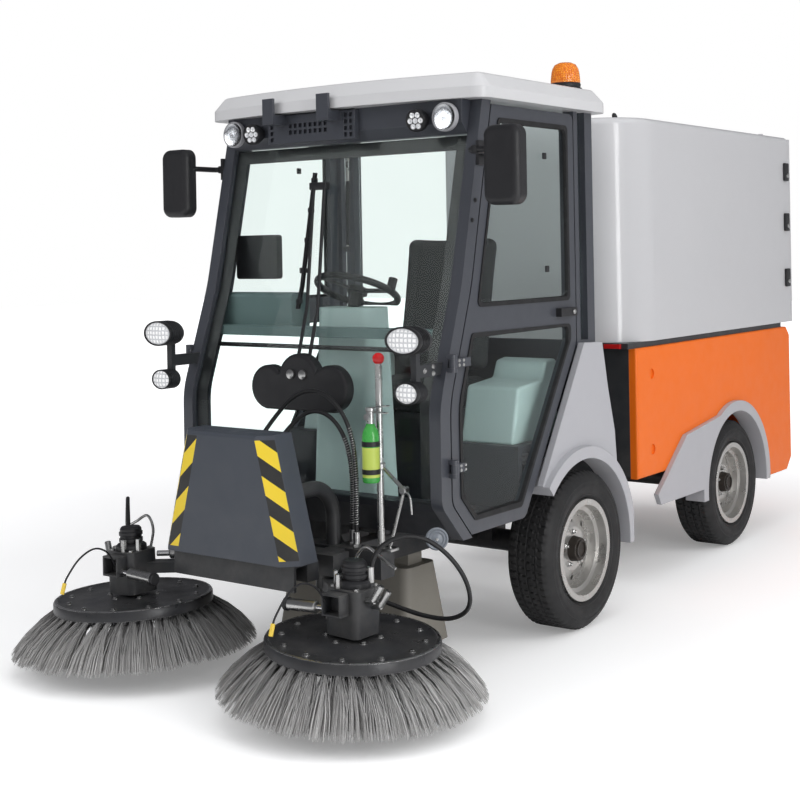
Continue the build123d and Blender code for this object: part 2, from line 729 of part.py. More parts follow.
# Side consoles: stepped moulded boxes beside the seat
SIDE_ROOM = CAB_IN - SEAT_W / 2
SIDE_IN = SEAT_W / 2 + SIDE_ROOM * 6 / 35
SIDE_OUT = CAB_IN - SIDE_ROOM / 7
SIDE_LOW = PLATFORM_Z + FLOOR_T + RUN
SIDE_STEP = SIDE_LOW + 238
SIDE_TOP = SIDE_STEP + 82
SIDE_BACK = SEAT_X - 220
SIDE_FRONT = SEAT_X + 140
with BuildPart() as side_consoles:
    with BuildSketch(side_plane(SIDE_OUT)):
        with BuildLine():
            FilletPolyline(
                (SIDE_BACK, SIDE_LOW),
                (SIDE_BACK, SIDE_TOP),
                (SEAT_X - 130, SIDE_TOP - 14),
                (SEAT_X - 100, SIDE_STEP),
                (SEAT_X + 90, SIDE_STEP - 18),
                (SIDE_FRONT, SIDE_LOW),
                radius=[24, 24, 24, 24],
            )
            Line((SIDE_FRONT, SIDE_LOW), (SIDE_BACK, SIDE_LOW))
        make_face()
    extrude(amount=SIDE_OUT - SIDE_IN)
    fillet(side_consoles.faces().sort_by(Axis.Y)[-1].edges().filter_by(GeomType.LINE).sort_by(Axis.Z)[1:], 10)
    mirror(about=Plane.XZ)
write(side_consoles.part, "side_consoles")

# Console: a tapered pedestal in front of the driver
CONSOLE_X = 1070
CONSOLE_TOP = 1330
CONSOLE_HALF = 140
with BuildPart() as console:
    with BuildSketch(Plane.XY.offset(FLOOR_Z + FLOOR_T)):
        with Locations((CONSOLE_X, 0)):
            RectangleRounded(200, 2 * CONSOLE_HALF + 40, 50)
    with BuildSketch(Plane.XY.offset(CONSOLE_TOP)):
        with Locations((CONSOLE_X, 0)):
            RectangleRounded(150, 2 * CONSOLE_HALF, 50)
    loft()
write(console.part, "console")

# Steering: a short leaning column, a hub with three spokes, the rim and a spinner knob
WHEEL_R = 165
WHEEL_RIM = 14
WHEEL_LEAN = 24
WHEEL_UP = 70
wheel_axis = (-sin(radians(WHEEL_LEAN)), 0, cos(radians(WHEEL_LEAN)))
with BuildPart(Plane((CONSOLE_X, 0, CONSOLE_TOP), z_dir=wheel_axis)) as steering:
    Cylinder(24, WHEEL_UP, align=(Align.CENTER, Align.CENTER, Align.MIN))
    with Locations((0, 0, WHEEL_UP)):
        Torus(WHEEL_R, WHEEL_RIM)
        Cylinder(42, 22)
        with PolarLocations(WHEEL_R / 2, 3, start_angle=90):
            Box(WHEEL_R, 26, 9)
    with Locations((0, WHEEL_R, WHEEL_UP)):
        Cylinder(18, 52, align=(Align.CENTER, Align.CENTER, Align.MIN))
    split(bisect_by=Plane.XY.offset(CONSOLE_TOP), keep=Keep.TOP)
write(steering.part, "steering")

# Dash bar across the cab behind the windscreen, with a shelf on the right
DASH_X = 1215
DASH_Z = 1240
DASH_T = 50
with BuildPart() as dash_bar:
    with Locations((DASH_X, 0, DASH_Z)):
        Box(DASH_T, 2 * (CAB_IN - RUN), 40, align=(Align.MIN, Align.CENTER, Align.CENTER))
    with Locations((DASH_X, RUN - CAB_IN, DASH_Z - 20)):
        Box(110, CAB_IN - CONSOLE_HALF - 60, 170, align=(Align.MAX, Align.MIN, Align.MIN))
    fillet(dash_bar.edges().filter_by(Axis.Y).group_by(Axis.Z)[-1], 20)
write(dash_bar.part, "dash_bar")

# Monitor on a bar from the right A pillar
MONITOR_X = 1110
MONITOR_Y = 125 - CAB_IN
MONITOR_Z = 1535
with BuildPart() as monitor:
    with Locations((MONITOR_X, MONITOR_Y, MONITOR_Z)):
        Box(34, 226, 182)
    fillet(monitor.edges().filter_by(Axis.X), 14)
    with Locations((MONITOR_X, RUN - CAB_IN, MONITOR_Z)):
        Box(24, MONITOR_Y + CAB_IN, 24, align=(Align.CENTER, Align.MIN, Align.CENTER))
    with Locations((MONITOR_X, RUN - CAB_IN, MONITOR_Z)):
        Box(70, 16, 40, align=(Align.MIN, Align.MIN, Align.CENTER))
write(monitor.part, "monitor")

# Wipers: a lobed motor cover low on the windscreen and twin arms with blades
# lobes: Y, Z, radius
LOBES = ((-155, 1035, 85), (0, 1068, 100), (150, 1040, 88))
COVER_T = 46
SCREEN_X = CAB_NOSE - SCREEN_IN
with BuildPart() as wipers:
    with BuildSketch(Plane.YZ.offset(SCREEN_X + RUN)):
        for y, z, radius in LOBES:
            with Locations((y, z)):
                Circle(radius)
        with Locations((0, LOBES[0][1] - 45)):
            Rectangle(2 * LOBES[1][2] + 140, 80)
    extrude(amount=COVER_T)
    fillet(wipers.faces().sort_by(Axis.X)[-1].edges(), 14)
    for y in (-50, 5):
        add(
            tube(
                (
                    (SCREEN_X + COVER_T - 14, y + 30, 1090),
                    (SCREEN_X - 84, y - 5, 1340),
                    (SCREEN_X - 206, y - 62, 1815),
                ),
                7,
                200,
            )
        )
write(wipers.part, "wipers")

# Brush carrier: cross beam with the arm pins, a post to the front box, lift tubes and a low bar
BEAM_Z = BOX_Z - BEAM_H - 1
BEAM_DEEP = 90
BEAM_HALF = ARM_PIN_Y + 62
ARM_TOP = BEAM_Z - RUN
ARM_LOW = ARM_TOP - ARM_H
POST_HALF = 130
LIFT_Y = 180
with BuildPart() as front_carrier:
    with Locations((ARM_PIN_X, 0, BEAM_Z)):
        Box(BEAM_DEEP, 2 * BEAM_HALF, BEAM_H, align=(Align.CENTER, Align.CENTER, Align.MIN))
    with Locations((CHASSIS_NOSE, RAIL_Y, BEAM_Z), (CHASSIS_NOSE, -RAIL_Y, BEAM_Z)):
        Box(ARM_PIN_X - CHASSIS_NOSE, RAIL_W, BEAM_H, align=(Align.MIN, Align.CENTER, Align.MIN))
    with Locations((ARM_PIN_X, 0, BEAM_Z + 20)):
        Box(BOX_REAR - ARM_PIN_X, 2 * POST_HALF, 260, align=(Align.MIN, Align.CENTER, Align.MIN))
    with Locations((BOX_REAR, 0, BEAM_Z + SWING)):
        Box(60, 2 * BEAM_HALF - 20, BEAM_H - SWING, align=(Align.CENTER, Align.CENTER, Align.MIN))
    with BuildSketch(Plane.XZ):
        with BuildLine():
            apron_front = BOX_REAR + BOX_DEEP - BOX_CUT
            apron_top = BEAM_Z + BEAM_H
            Polyline(
                (BOX_REAR, apron_top),
                (BOX_REAR, apron_top - APRON_T),
                (apron_front - APRON_T, apron_top - APRON_T),
                (apron_front - APRON_T, apron_top - APRON_H),
                (apron_front, apron_top - APRON_H),
                (apron_front, apron_top),
                close=True,
            )
        make_face()
    extrude(amount=BEAM_HALF - 20, both=True)
    for y in (LIFT_Y, -LIFT_Y):
        add(
            tube(
                (
                    (CHASSIS_NOSE - COLUMN_T / 2, y, FRONT_RAIL_TOP),
                    (CHASSIS_NOSE - COLUMN_T / 2, y, BOX_Z + 220),
                    (BOX_REAR, y, BOX_Z + 220),
                ),
                28,
                120,
            )
        )
    for y in (ARM_PIN_Y, -ARM_PIN_Y):
        with Locations((ARM_PIN_X, y, BEAM_Z)):
            Cylinder(ARM_PIN_R, ARM_H + 2 * RUN, align=(Align.CENTER, Align.CENTER, Align.MAX))
        with Locations((ARM_PIN_X, y, ARM_LOW - RUN)):
            Cylinder(ARM_PIN_R + 14, 20, align=(Align.CENTER, Align.CENTER, Align.MAX))
write(front_carrier.part, "front_carrier")

# Front box: a tapered cover with cut front edges
with BuildPart() as front_box:
    with BuildSketch(Plane.YZ.offset(BOX_REAR)):
        with BuildLine():
            Polyline(
                (-BOX_HALF_LOW, BOX_Z),
                (BOX_HALF_LOW, BOX_Z),
                (BOX_HALF_TOP, BOX_Z + BOX_H),
                (-BOX_HALF_TOP, BOX_Z + BOX_H),
                close=True,
            )
        make_face()
    extrude(amount=BOX_DEEP)
    slants = front_box.faces().sort_by(Axis.X)[-1].edges().sort_by(Axis.Y)
    chamfer([slants[0], slants[-1]], BOX_CUT)
    fillet(front_box.faces().sort_by(Axis.X)[-1].edges().sort_by(Axis.Z)[-1], 14)
write(front_box.part, "front_box")

# Lever post with a ball top, and the extinguisher strapped to its front
POST_X = 1420
POST_Y = 388
POST_R = 13
STRAP = 8
BOTTLE_R = 32
BOTTLE_LOW = 720
BOTTLE_H = 280
POST_H = 680
BALL_R = 22
with BuildPart() as lever_post:
    with Locations((POST_X, POST_Y, FRONT_RAIL_TOP)):
        Cylinder(POST_R, POST_H, align=(Align.CENTER, Align.CENTER, Align.MIN))
    with Locations((POST_X, POST_Y, FRONT_RAIL_TOP + POST_H + BALL_R / 2)):
        Sphere(BALL_R)
    for z in (BOTTLE_LOW + 40, BOTTLE_LOW + 140):
        with Locations((POST_X, POST_Y, z)):
            Box(POST_R + STRAP, 20, 24, align=(Align.MIN, Align.CENTER, Align.CENTER))
write(lever_post.part, "lever_post")

with BuildPart() as extinguisher:
    with BuildSketch(Plane.XZ):
        with BuildLine():
            Polyline(
                (0, 0),
                (BOTTLE_R, 0),
                (BOTTLE_R, BOTTLE_H - 110),
                (BOTTLE_R / 2, BOTTLE_H - 70),
                (BOTTLE_R / 2, BOTTLE_H - 25),
                (BOTTLE_R * 0.7, BOTTLE_H - 22),
                (BOTTLE_R * 0.7, BOTTLE_H),
                (0, BOTTLE_H),
                close=True,
            )
        make_face()
    revolve(axis=Axis.Z)
    with Locations((0, 0, BOTTLE_H - 15)):
        Box(18, 90, 16, align=(Align.CENTER, Align.MIN, Align.CENTER))
bottle_x = POST_X + POST_R + STRAP + BOTTLE_R + RUN
write(extinguisher.part.moved(Location((bottle_x, POST_Y, BOTTLE_LOW))), "extinguisher")

# Main hoses from the back of the front box over to the chassis nose
MAIN_HOSES = (
    (
        (BOX_REAR, -40, 850),
        (1608, -40, 850),
        (1550, -10, 935),
        (1525, 75, 1030),
        (1510, 175, 1050),
        (1500, 262, 995),
        (1492, 312, 905),
        (1482, 322, 800),
        (1466, 312, 690),
        (1452, 298, 575),
        (1452, 298, FRONT_RAIL_TOP),
    ),
    (
        (BOX_REAR, 40, 830),
        (1608, 40, 830),
        (1555, 70, 910),
        (1525, 145, 975),
        (1505, 225, 960),
        (1485, 280, 880),
        (1465, 290, 780),
        (1445, 280, 675),
        (1428, 262, 570),
        (1428, 262, FRONT_RAIL_TOP),
    ),
)
for label, route in zip(("hose_upper", "hose_lower"), MAIN_HOSES):
    write(hose(route, label), label)

# Doors: a frame with two windows, hinge leaves and a handle, then the panes
DOOR_TOP = ROOF_Z - 14
DOOR_LOW = FLOOR_Z + 12
PANE_R = 22
PAD_W = 38
with BuildSketch(side_plane(CAB_HALF)) as door_outline:
    with BuildLine():
        edge = cab_edge(PILLAR_W + SHUT, DOOR_TOP, DOOR_LOW)
        FilletPolyline(
            edge @ 1,
            (slant_x(DOOR_LOW, SHUT), DOOR_LOW),
            (DOOR_REAR, BELT_Z),
            (DOOR_REAR, DOOR_TOP),
            edge @ 0,
            radius=[40, 90, 30],
        )
    make_face()
with BuildSketch(side_plane(CAB_HALF)) as door_windows:
    add(door_outline.sketch)
    offset(amount=-WINDOW_RIM - PANE_R)
    with Locations((CAB_NOSE, BAND_Z)):
        Rectangle(2 * CAB_NOSE, BAND_H + 2 * PANE_R, mode=Mode.SUBTRACT)
    offset(amount=PANE_R)

with BuildPart() as door:
    extrude(door_outline.sketch, amount=DOOR_T)
    extrude(door_windows.sketch, amount=DOOR_T, mode=Mode.SUBTRACT)
    for z in HINGE_Z:
        pad_rear = door_edge(z) - SHUT - PAD_W
        with Locations((HINGE_X, HINGE_Y, z)):
            Cylinder(HINGE_EYE_R, 2 * EYE_HALF)
            Box(HINGE_X - pad_rear, 8, 2 * EYE_HALF, align=(Align.MAX, Align.CENTER, Align.CENTER))
            Cylinder(HINGE_PIN_R + RUN, HINGE_LEAF, mode=Mode.SUBTRACT)
        with Locations((pad_rear, CAB_HALF, z)):
            Box(PAD_W, HINGE_STAND + 4, 2 * EYE_HALF, align=(Align.MIN, Align.MIN, Align.CENTER))
    with Locations((DOOR_REAR + 95, CAB_HALF, BAND_Z)):
        Box(130, 26, 34, align=(Align.CENTER, Align.MIN, Align.CENTER))
write_pair(door.part, "door")

with BuildPart() as door_glass:
    with BuildSketch(side_plane(CAB_HALF - GLASS_IN / 2)):
        add(door_windows.sketch.moved(Location((0, -GLASS_IN / 2, 0))))
        offset(amount=-RUN)
    extrude(amount=GLASS_T)
write_pair(door_glass.part, "door_glass")

# Brush arms: an eye on the carrier's pin, a square beam and the hydraulic motor over the brush
lean = radians(BRUSH_TILT)
brush_plane = Plane((BRUSH_X, BRUSH_Y, PLATE_Z), x_dir=(1, 0, 0), z_dir=(0, sin(lean), cos(lean)))
ARM_LENGTH = hypot(BRUSH_X - ARM_PIN_X, BRUSH_Y - ARM_PIN_Y)
arm_way = (BRUSH_X - ARM_PIN_X, BRUSH_Y - ARM_PIN_Y, 0)
MOTOR_LOW = PLATE_T + MOTOR_LIFT
MOTOR_HOSE = (
    (1748, 590, PLATE_Z + MOTOR_LOW + MOTOR_H + 12),
    (1748, 590, 525),
    (1700, 645, 590),
    (1630, 720, 592),
    (1570, 790, 525),
    (1530, 838, 430),
    (1498, 828, 330),
    (1490, 742, 278),
    (1506, 640, 280),
    (1542, 548, 308),
    (1580, 462, 342),
)
with BuildPart() as brush_arm:
    with BuildSketch(Plane((ARM_PIN_X, ARM_PIN_Y, ARM_LOW))):
        Circle(ARM_EYE_R)
        Circle(ARM_PIN_R + RUN, mode=Mode.SUBTRACT)
    extrude(amount=ARM_H)
    with BuildSketch(Plane((ARM_PIN_X, ARM_PIN_Y, ARM_LOW), x_dir=arm_way)):
        with Locations((ARM_EYE_R - 10, 0)):
            Rectangle(ARM_LENGTH - ARM_EYE_R, ARM_W, align=(Align.MIN, Align.CENTER))
    extrude(amount=ARM_H - 10)
    with BuildSketch(brush_plane.offset(MOTOR_LOW)):
        RectangleRounded(2 * MOTOR_R, 2 * MOTOR_R, 26)
    extrude(amount=MOTOR_H)
    with BuildSketch(brush_plane.offset(4)):
        Circle(SHAFT_R)
    extrude(amount=MOTOR_LOW)
    with Locations(MOTOR_HOSE[0]):
        Cylinder(HOSE_D / 2 + 5, 30, align=(Align.CENTER, Align.CENTER, Align.MAX))
    gland = Vector(*MOTOR_HOSE[-1])
    inward = (gland - Vector(*MOTOR_HOSE[-2])).normalized()
    with BuildSketch(Plane(gland, z_dir=inward)):
        Circle(HOSE_D / 2 + 5)
    extrude(amount=130)
write_pair(brush_arm.part, "brush_arm")
write_pair(hose(MOTOR_HOSE, "motor_hose"), "motor_hose")

# Brushes: a disc with a hub bore and a ring of flaring bristle tufts
TUFT_DROP = (PLATE_Z - TIP_CLEAR - BRUSH_R * sin(lean)) / cos(lean)
with BuildPart() as tuft:
    with BuildSketch(Plane.XZ):
        with BuildLine():
            Polyline(
                (PLATE_R - 70, 8),
                (PLATE_R - 8, 8),
                (PLATE_R - 4, 0),
                (BRUSH_R, 8 - TUFT_DROP),
                (BRUSH_R - 30, -TUFT_DROP),
                (BRUSH_R - 110, 8 - TUFT_DROP),
                (PLATE_R - 70, 0),
                close=True,
            )
        make_face()
    extrude(amount=TUFT_W / 2, both=True)
with BuildPart(brush_plane) as brush:
    Cylinder(PLATE_R, PLATE_T, align=(Align.CENTER, Align.CENTER, Align.MIN))
    fillet(brush.edges().sort_by(Axis.Z)[-1], 6)
    Cylinder(SHAFT_R + RUN, PLATE_T, align=(Align.CENTER, Align.CENTER, Align.MIN), mode=Mode.SUBTRACT)
    with PolarLocations(0, TUFTS):
        add(tuft.part)
write_pair(brush.part, "brush")

# Rear chassis: tongue on the pivot pin, rails and cross members
TONGUE_R = FORK_R - 5
REAR_RAIL_TOP = REAR_RAIL_Z + RAIL_H
TONGUE_LOW = FRONT_RAIL_Z + FORK_PLATE + RUN
RAIL_END = BODY_REAR + BODY_T
with BuildPart() as rear_chassis:
    with Locations((PIVOT_X, 0, TONGUE_LOW)):
        Cylinder(TONGUE_R, FORK_GAP - 2 * RUN, align=(Align.CENTER, Align.CENTER, Align.MIN))
    with BuildSketch(Plane.XY.offset(REAR_RAIL_TOP)):
        with Locations((PIVOT_X, 0)):
            Rectangle(PIVOT_X - BODY_FRONT + RAIL_W, 2 * TONGUE_R, align=(Align.MAX, Align.CENTER))
        with Locations((BODY_FRONT, 0)):
            Rectangle(COLUMN_T, 2 * RAIL_Y + RAIL_W, align=(Align.MAX, Align.CENTER))
    extrude(amount=-(REAR_RAIL_TOP - TONGUE_LOW - 20))
    with BuildSketch(Plane.XY.offset(REAR_RAIL_Z)):
        for y in (RAIL_Y, -RAIL_Y):
            with Locations((BODY_FRONT, y)):
                Rectangle(BODY_FRONT - RAIL_END, RAIL_W, align=(Align.MAX, Align.CENTER))
        for x in (-1000, -1740, RAIL_END + COLUMN_T):
            with Locations((x, 0)):
                Rectangle(COLUMN_T, 2 * RAIL_Y, align=(Align.MAX, Align.CENTER))
    extrude(amount=RAIL_H)
    with Locations((PIVOT_X, 0, TONGUE_LOW)):
        Cylinder(PIN_R + RUN, FORK_GAP, align=(Align.CENTER, Align.CENTER, Align.MIN), mode=Mode.SUBTRACT)
write(rear_chassis.part, "rear_chassis")

# Battery: one heavy block on the rails
with BuildPart() as battery_pack:
    with Locations((BODY_FRONT - 120, 0, REAR_RAIL_TOP)):
        Box(560, 680, 540, align=(Align.MAX, Align.CENTER, Align.MIN))
write(battery_pack.part, "battery_pack")

# Bulkhead and deck of the rear body
BODY_IN = BODY_HALF - BODY_T
LUG_Y = (262, 318)
LUG_T = 22
TIP_Z = BODY_TOP
LUG_R = 24
DECK_REAR = TIP_X + 40
with BuildPart() as rear_deck:
    with Locations((BODY_FRONT, 0, REAR_RAIL_TOP)):
        Box(BODY_T, 2 * BODY_IN, BODY_TOP - REAR_RAIL_TOP, align=(Align.MAX, Align.CENTER, Align.MIN))
    with Locations((DECK_REAR, 0, BODY_TOP)):
        Box(
            HOPPER_FRONT - 20 - DECK_REAR,
            2 * BODY_HALF - 32,
            DECK_T,
            align=(Align.MIN, Align.CENTER, Align.MIN),
        )
    for y in LUG_Y:
        with BuildSketch(side_plane(y + LUG_T)):
            with Locations((TIP_X, TIP_Z)):
                Circle(LUG_R)
            with Locations((TIP_X, TIP_Z)):
                Rectangle(DECK_REAR - TIP_X + 30, 2 * LUG_R, align=(Align.MIN, Align.CENTER))
        extrude(amount=LUG_T)
    with Locations((TIP_X, LUG_Y[0], TIP_Z)):
        Cylinder(
            TIP_PIN_R,
            LUG_Y[1] + LUG_T - LUG_Y[0],
            rotation=(-90, 0, 0),
            align=(Align.CENTER, Align.CENTER, Align.MIN),
        )
    mirror(about=Plane.XZ)
write(rear_deck.part, "rear_deck")

# Side panels with the wheel cut-out, a chamfered tail and two round recesses
RECESS_Z = (610, 960)
TIP_CUT = 45
TAIL_CUT = 66
with BuildPart() as side_panels:
    with BuildSketch(side_plane(BODY_HALF)):
        with BuildLine():
            Polyline(
                (BODY_FRONT, SKIRT_Z),
                (BODY_FRONT, BODY_TOP),
                (BODY_REAR + TIP_CUT, BODY_TOP),
                (BODY_REAR, BODY_TOP - TIP_CUT),
                (BODY_REAR, TAIL_Z + TAIL_CUT),
                (BODY_REAR + TAIL_CUT, TAIL_Z),
                (REAR_AXLE_X, TAIL_Z),
                (REAR_AXLE_X, SKIRT_Z),
                close=True,
            )
        make_face()
        with Locations((REAR_AXLE_X, HUB_Z)):
            Circle(ARCH_OUT + RUN, mode=Mode.SUBTRACT)
    extrude(amount=BODY_T)
    fillet(side_panels.faces().sort_by(Axis.Y)[-1].edges().filter_by(GeomType.LINE), 12)
    for z in RECESS_Z:
        with Locations((BODY_FRONT - 150, BODY_HALF, z)):
            Cylinder(24, 16, rotation=(90, 0, 0), mode=Mode.SUBTRACT)
    mirror(about=Plane.XZ)
write(side_panels.part, "side_panels")

# Rear panel between the side panels
PANEL_TOP = BODY_TOP - TIP_CUT
with BuildPart() as rear_panel:
    with Locations((BODY_REAR, 0, TAIL_Z + TAIL_CUT)):
        Box(BODY_T, 2 * BODY_IN, PANEL_TOP - TAIL_Z - TAIL_CUT, align=(Align.MIN, Align.CENTER, Align.MIN))
write(rear_panel.part, "rear_panel")

# Rear wheel arches: a lip ring round each wheel and a wide guard ahead of it
ARCH_STAND = 24
with BuildPart() as rear_arches:
    with BuildSketch(side_plane(BODY_HALF + ARCH_STAND)):
        with Locations((REAR_AXLE_X, HUB_Z)):
            Circle(ARCH_OUT)
            Circle(ARCH_R, mode=Mode.SUBTRACT)
        with Locations((REAR_AXLE_X, TAIL_Z)):
            Rectangle(4 * ARCH_OUT, 2 * ARCH_OUT, align=(Align.CENTER, Align.MIN), mode=Mode.INTERSECT)
    extrude(amount=ARCH_STAND + BODY_T + 36)
    with BuildSketch(side_plane(BODY_HALF + ARCH_STAND)):
        with BuildLine():
            Polyline(
                (REAR_AXLE_X + 200, HUB_Z + ARCH_R),
                (REAR_AXLE_X + 608, HUB_Z + 320),
                (REAR_AXLE_X + 928, HUB_Z + 80),
                (REAR_AXLE_X + 898, HUB_Z + 30),
                (REAR_AXLE_X + ARCH_R, HUB_Z + 30),
                close=True,
            )
        make_face()
        with Locations((REAR_AXLE_X, HUB_Z)):
            Circle(ARCH_OUT - 10, mode=Mode.SUBTRACT)
    extrude(amount=ARCH_STAND)
    mirror(about=Plane.XZ)
write(rear_arches.part, "rear_arches")

# Lamps of the rear section: tail lamps on the rear panel and markers on the deck's front edge
TAIL_LAMP_Y = BODY_HALF - 156
TAIL_LAMP_Z = (820, 690)
with BuildPart() as rear_lamps:
    for z in TAIL_LAMP_Z:
        with Locations((BODY_REAR, TAIL_LAMP_Y, z)):
            Cylinder(52, 26, rotation=(0, -90, 0), align=(Align.CENTER, Align.CENTER, Align.MIN))
    with Locations((HOPPER_FRONT - 20, BODY_HALF - 90, BODY_TOP + 3)):
        Box(18, 80, 20, align=(Align.MIN, Align.CENTER, Align.MIN))
    mirror(about=Plane.XZ)
write(rear_lamps.part, "rear_lamps")

# Tow hitch: a flange on the rear panel and a tongue with an upright bore
HITCH_Z = 460
HITCH_BORE_R = 16
HITCH_T = 30
HITCH_OUT = 71
HITCH_R = 33
with BuildPart() as tow_hitch:
    with Locations((BODY_REAR, 0, HITCH_Z)):
        Box(12, 140, 110, align=(Align.MAX, Align.CENTER, Align.CENTER))
    with BuildSketch(Plane.XY.offset(HITCH_Z - HITCH_T / 2)):
        with Locations((BODY_REAR - HITCH_OUT + HITCH_R, 0)):
            Circle(HITCH_R)
            Rectangle(HITCH_OUT - HITCH_R, 2 * HITCH_R, align=(Align.MIN, Align.CENTER))
            Circle(HITCH_BORE_R, mode=Mode.SUBTRACT)
    extrude(amount=HITCH_T)
write(tow_hitch.part, "tow_hitch")

# Hopper: a hollow shell with round front corners, open at the back, with tipping ears and gate lugs
GATE_PIN_X = HOPPER_REAR - GATE_T / 2 - 2
GATE_PIN_Z = HOPPER_TOP + 12
GATE_LUG_R = 20
GATE_LUG_Y = 380
with BuildPart() as hopper:
    with BuildSketch(Plane.XY.offset(HOPPER_Z)) as plan:
        with Locations((HOPPER_FRONT, 0)):
            Rectangle(HOPPER_FRONT - HOPPER_REAR, 2 * BODY_HALF, align=(Align.MAX, Align.CENTER))
        fillet(plan.vertices().group_by(Axis.X)[-1], HOPPER_CORNER)
    extrude(amount=HOPPER_H)
    top_edges = hopper.faces().sort_by(Axis.Z)[-1].edges().sort_by(Axis.X)[1:]
    fillet(top_edges, 34)
    with BuildSketch(Plane.XY.offset(HOPPER_Z + HOPPER_T)) as hollow:
        with Locations((HOPPER_FRONT - HOPPER_T, 0)):
            Rectangle(HOPPER_FRONT - HOPPER_REAR, 2 * (BODY_HALF - HOPPER_T), align=(Align.MAX, Align.CENTER))
        fillet(hollow.vertices().group_by(Axis.X)[-1], HOPPER_CORNER - HOPPER_T)
    extrude(amount=HOPPER_H - 2 * HOPPER_T, mode=Mode.SUBTRACT)
    ear_y = LUG_Y[0] + LUG_T + 3
    with BuildSketch(side_plane(LUG_Y[1] - 3)):
        with Locations((TIP_X, TIP_Z)):
            Circle(TIP_EAR_R - 4)
            Rectangle(2 * TIP_EAR_R - 8, HOPPER_Z - TIP_Z + 10, align=(Align.CENTER, Align.MIN))
            Circle(TIP_PIN_R + RUN, mode=Mode.SUBTRACT)
    extrude(amount=LUG_Y[1] - 3 - ear_y)
    with BuildSketch(side_plane(GATE_LUG_Y + 20)):
        with Locations((GATE_PIN_X, GATE_PIN_Z)):
            Circle(GATE_LUG_R)
            Rectangle(90, GATE_LUG_R, align=(Align.MIN, Align.MAX))
    extrude(amount=20)
    with Locations((GATE_PIN_X, GATE_LUG_Y, GATE_PIN_Z)):
        Cylinder(GATE_PIN_R, 60, rotation=(90, 0, 0), align=(Align.CENTER, Align.CENTER, Align.MIN))
    mirror(about=Plane.XZ)
write(hopper.part, "hopper")

# Hopper gate at the back, hung from the top
with BuildPart() as hopper_gate:
    with BuildSketch(Plane.YZ.offset(HOPPER_REAR - 2)):
        with Locations((0, HOPPER_Z)):
            Rectangle(2 * BODY_HALF, HOPPER_H - 12, align=(Align.CENTER, Align.MIN))
    extrude(amount=-GATE_T)
    fillet(hopper_gate.faces().sort_by(Axis.X)[0].edges(), 16)
    for y in (GATE_LUG_Y - 30, 30 - GATE_LUG_Y):
        with BuildSketch(side_plane(y + 20)):
            with Locations((GATE_PIN_X, GATE_PIN_Z)):
                Circle(GATE_LUG_R - 2)
                Rectangle(GATE_T - 4, 50, align=(Align.CENTER, Align.MAX))
                Circle(GATE_PIN_R + RUN, mode=Mode.SUBTRACT)
        extrude(amount=40)
write(hopper_gate.part, "hopper_gate")
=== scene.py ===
"""Looks of the articulated electric road sweeper: finishes, hoses, tread, bristles, lamps, seat and fittings.

Metres in the shared frame: +X forward, +Y to the driver's left, +Z up.
"""

import json
import random
from math import cos, exp, pi, radians, sin, tau

import bmesh
import bpy
from mathutils import Matrix, Vector


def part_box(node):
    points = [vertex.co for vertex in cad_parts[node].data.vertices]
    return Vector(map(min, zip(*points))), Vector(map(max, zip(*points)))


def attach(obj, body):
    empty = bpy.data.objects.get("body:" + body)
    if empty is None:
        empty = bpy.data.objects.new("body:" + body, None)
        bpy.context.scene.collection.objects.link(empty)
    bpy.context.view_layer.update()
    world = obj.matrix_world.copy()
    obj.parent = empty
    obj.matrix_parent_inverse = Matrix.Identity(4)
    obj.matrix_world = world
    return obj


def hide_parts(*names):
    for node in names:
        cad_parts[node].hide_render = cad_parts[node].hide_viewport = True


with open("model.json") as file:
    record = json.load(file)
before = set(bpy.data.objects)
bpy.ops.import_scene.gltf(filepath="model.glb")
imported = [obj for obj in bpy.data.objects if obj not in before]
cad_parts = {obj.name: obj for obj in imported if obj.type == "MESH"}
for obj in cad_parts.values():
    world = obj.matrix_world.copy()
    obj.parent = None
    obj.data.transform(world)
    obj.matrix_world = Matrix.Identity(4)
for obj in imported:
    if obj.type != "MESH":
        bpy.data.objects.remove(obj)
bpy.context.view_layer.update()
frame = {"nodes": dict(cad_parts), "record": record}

random.seed(7)
scene = bpy.context.scene
SIDES = (("left", 1), ("right", -1))

# Shader node helpers
COLOR = "NodeSocketColor"
VALUE = "NodeSocketFloat"
VECTOR = "NodeSocketVector"


def rgba(color):
    """An opaque colour for a node socket."""
    return (*color, 1.0)


def put(tree, kind, ins=None, **settings):
    """Adds a shader node; each input is a constant or another node's output."""
    node = tree.nodes.new("ShaderNode" + kind)
    for key, value in settings.items():
        setattr(node, key, value)
    for key, value in (ins or {}).items():
        if isinstance(value, bpy.types.NodeSocket):
            tree.links.new(value, node.inputs[key])
        else:
            node.inputs[key].default_value = value
    return node


def math(tree, operation, first, second=0.0):
    """One arithmetic step."""
    return put(tree, "Math", {0: first, 1: second}, operation=operation).outputs[0]


def ramp(tree, value, low, high, to_low=0.0, to_high=1.0):
    """Maps a value from one range to another, clamped."""
    ins = {"Value": value, "From Min": low, "From Max": high, "To Min": to_low, "To Max": to_high}
    return put(tree, "MapRange", ins).outputs["Result"]


def mix(tree, factor, first, second, blend="MIX"):
    """Blends two colours."""
    ins = {0: factor, 6: first, 7: second}
    return put(tree, "Mix", ins, data_type="RGBA", blend_type=blend).outputs[2]


def place_of(tree):
    """The point's place in the shared frame."""
    return put(tree, "TexCoord").outputs["Object"]


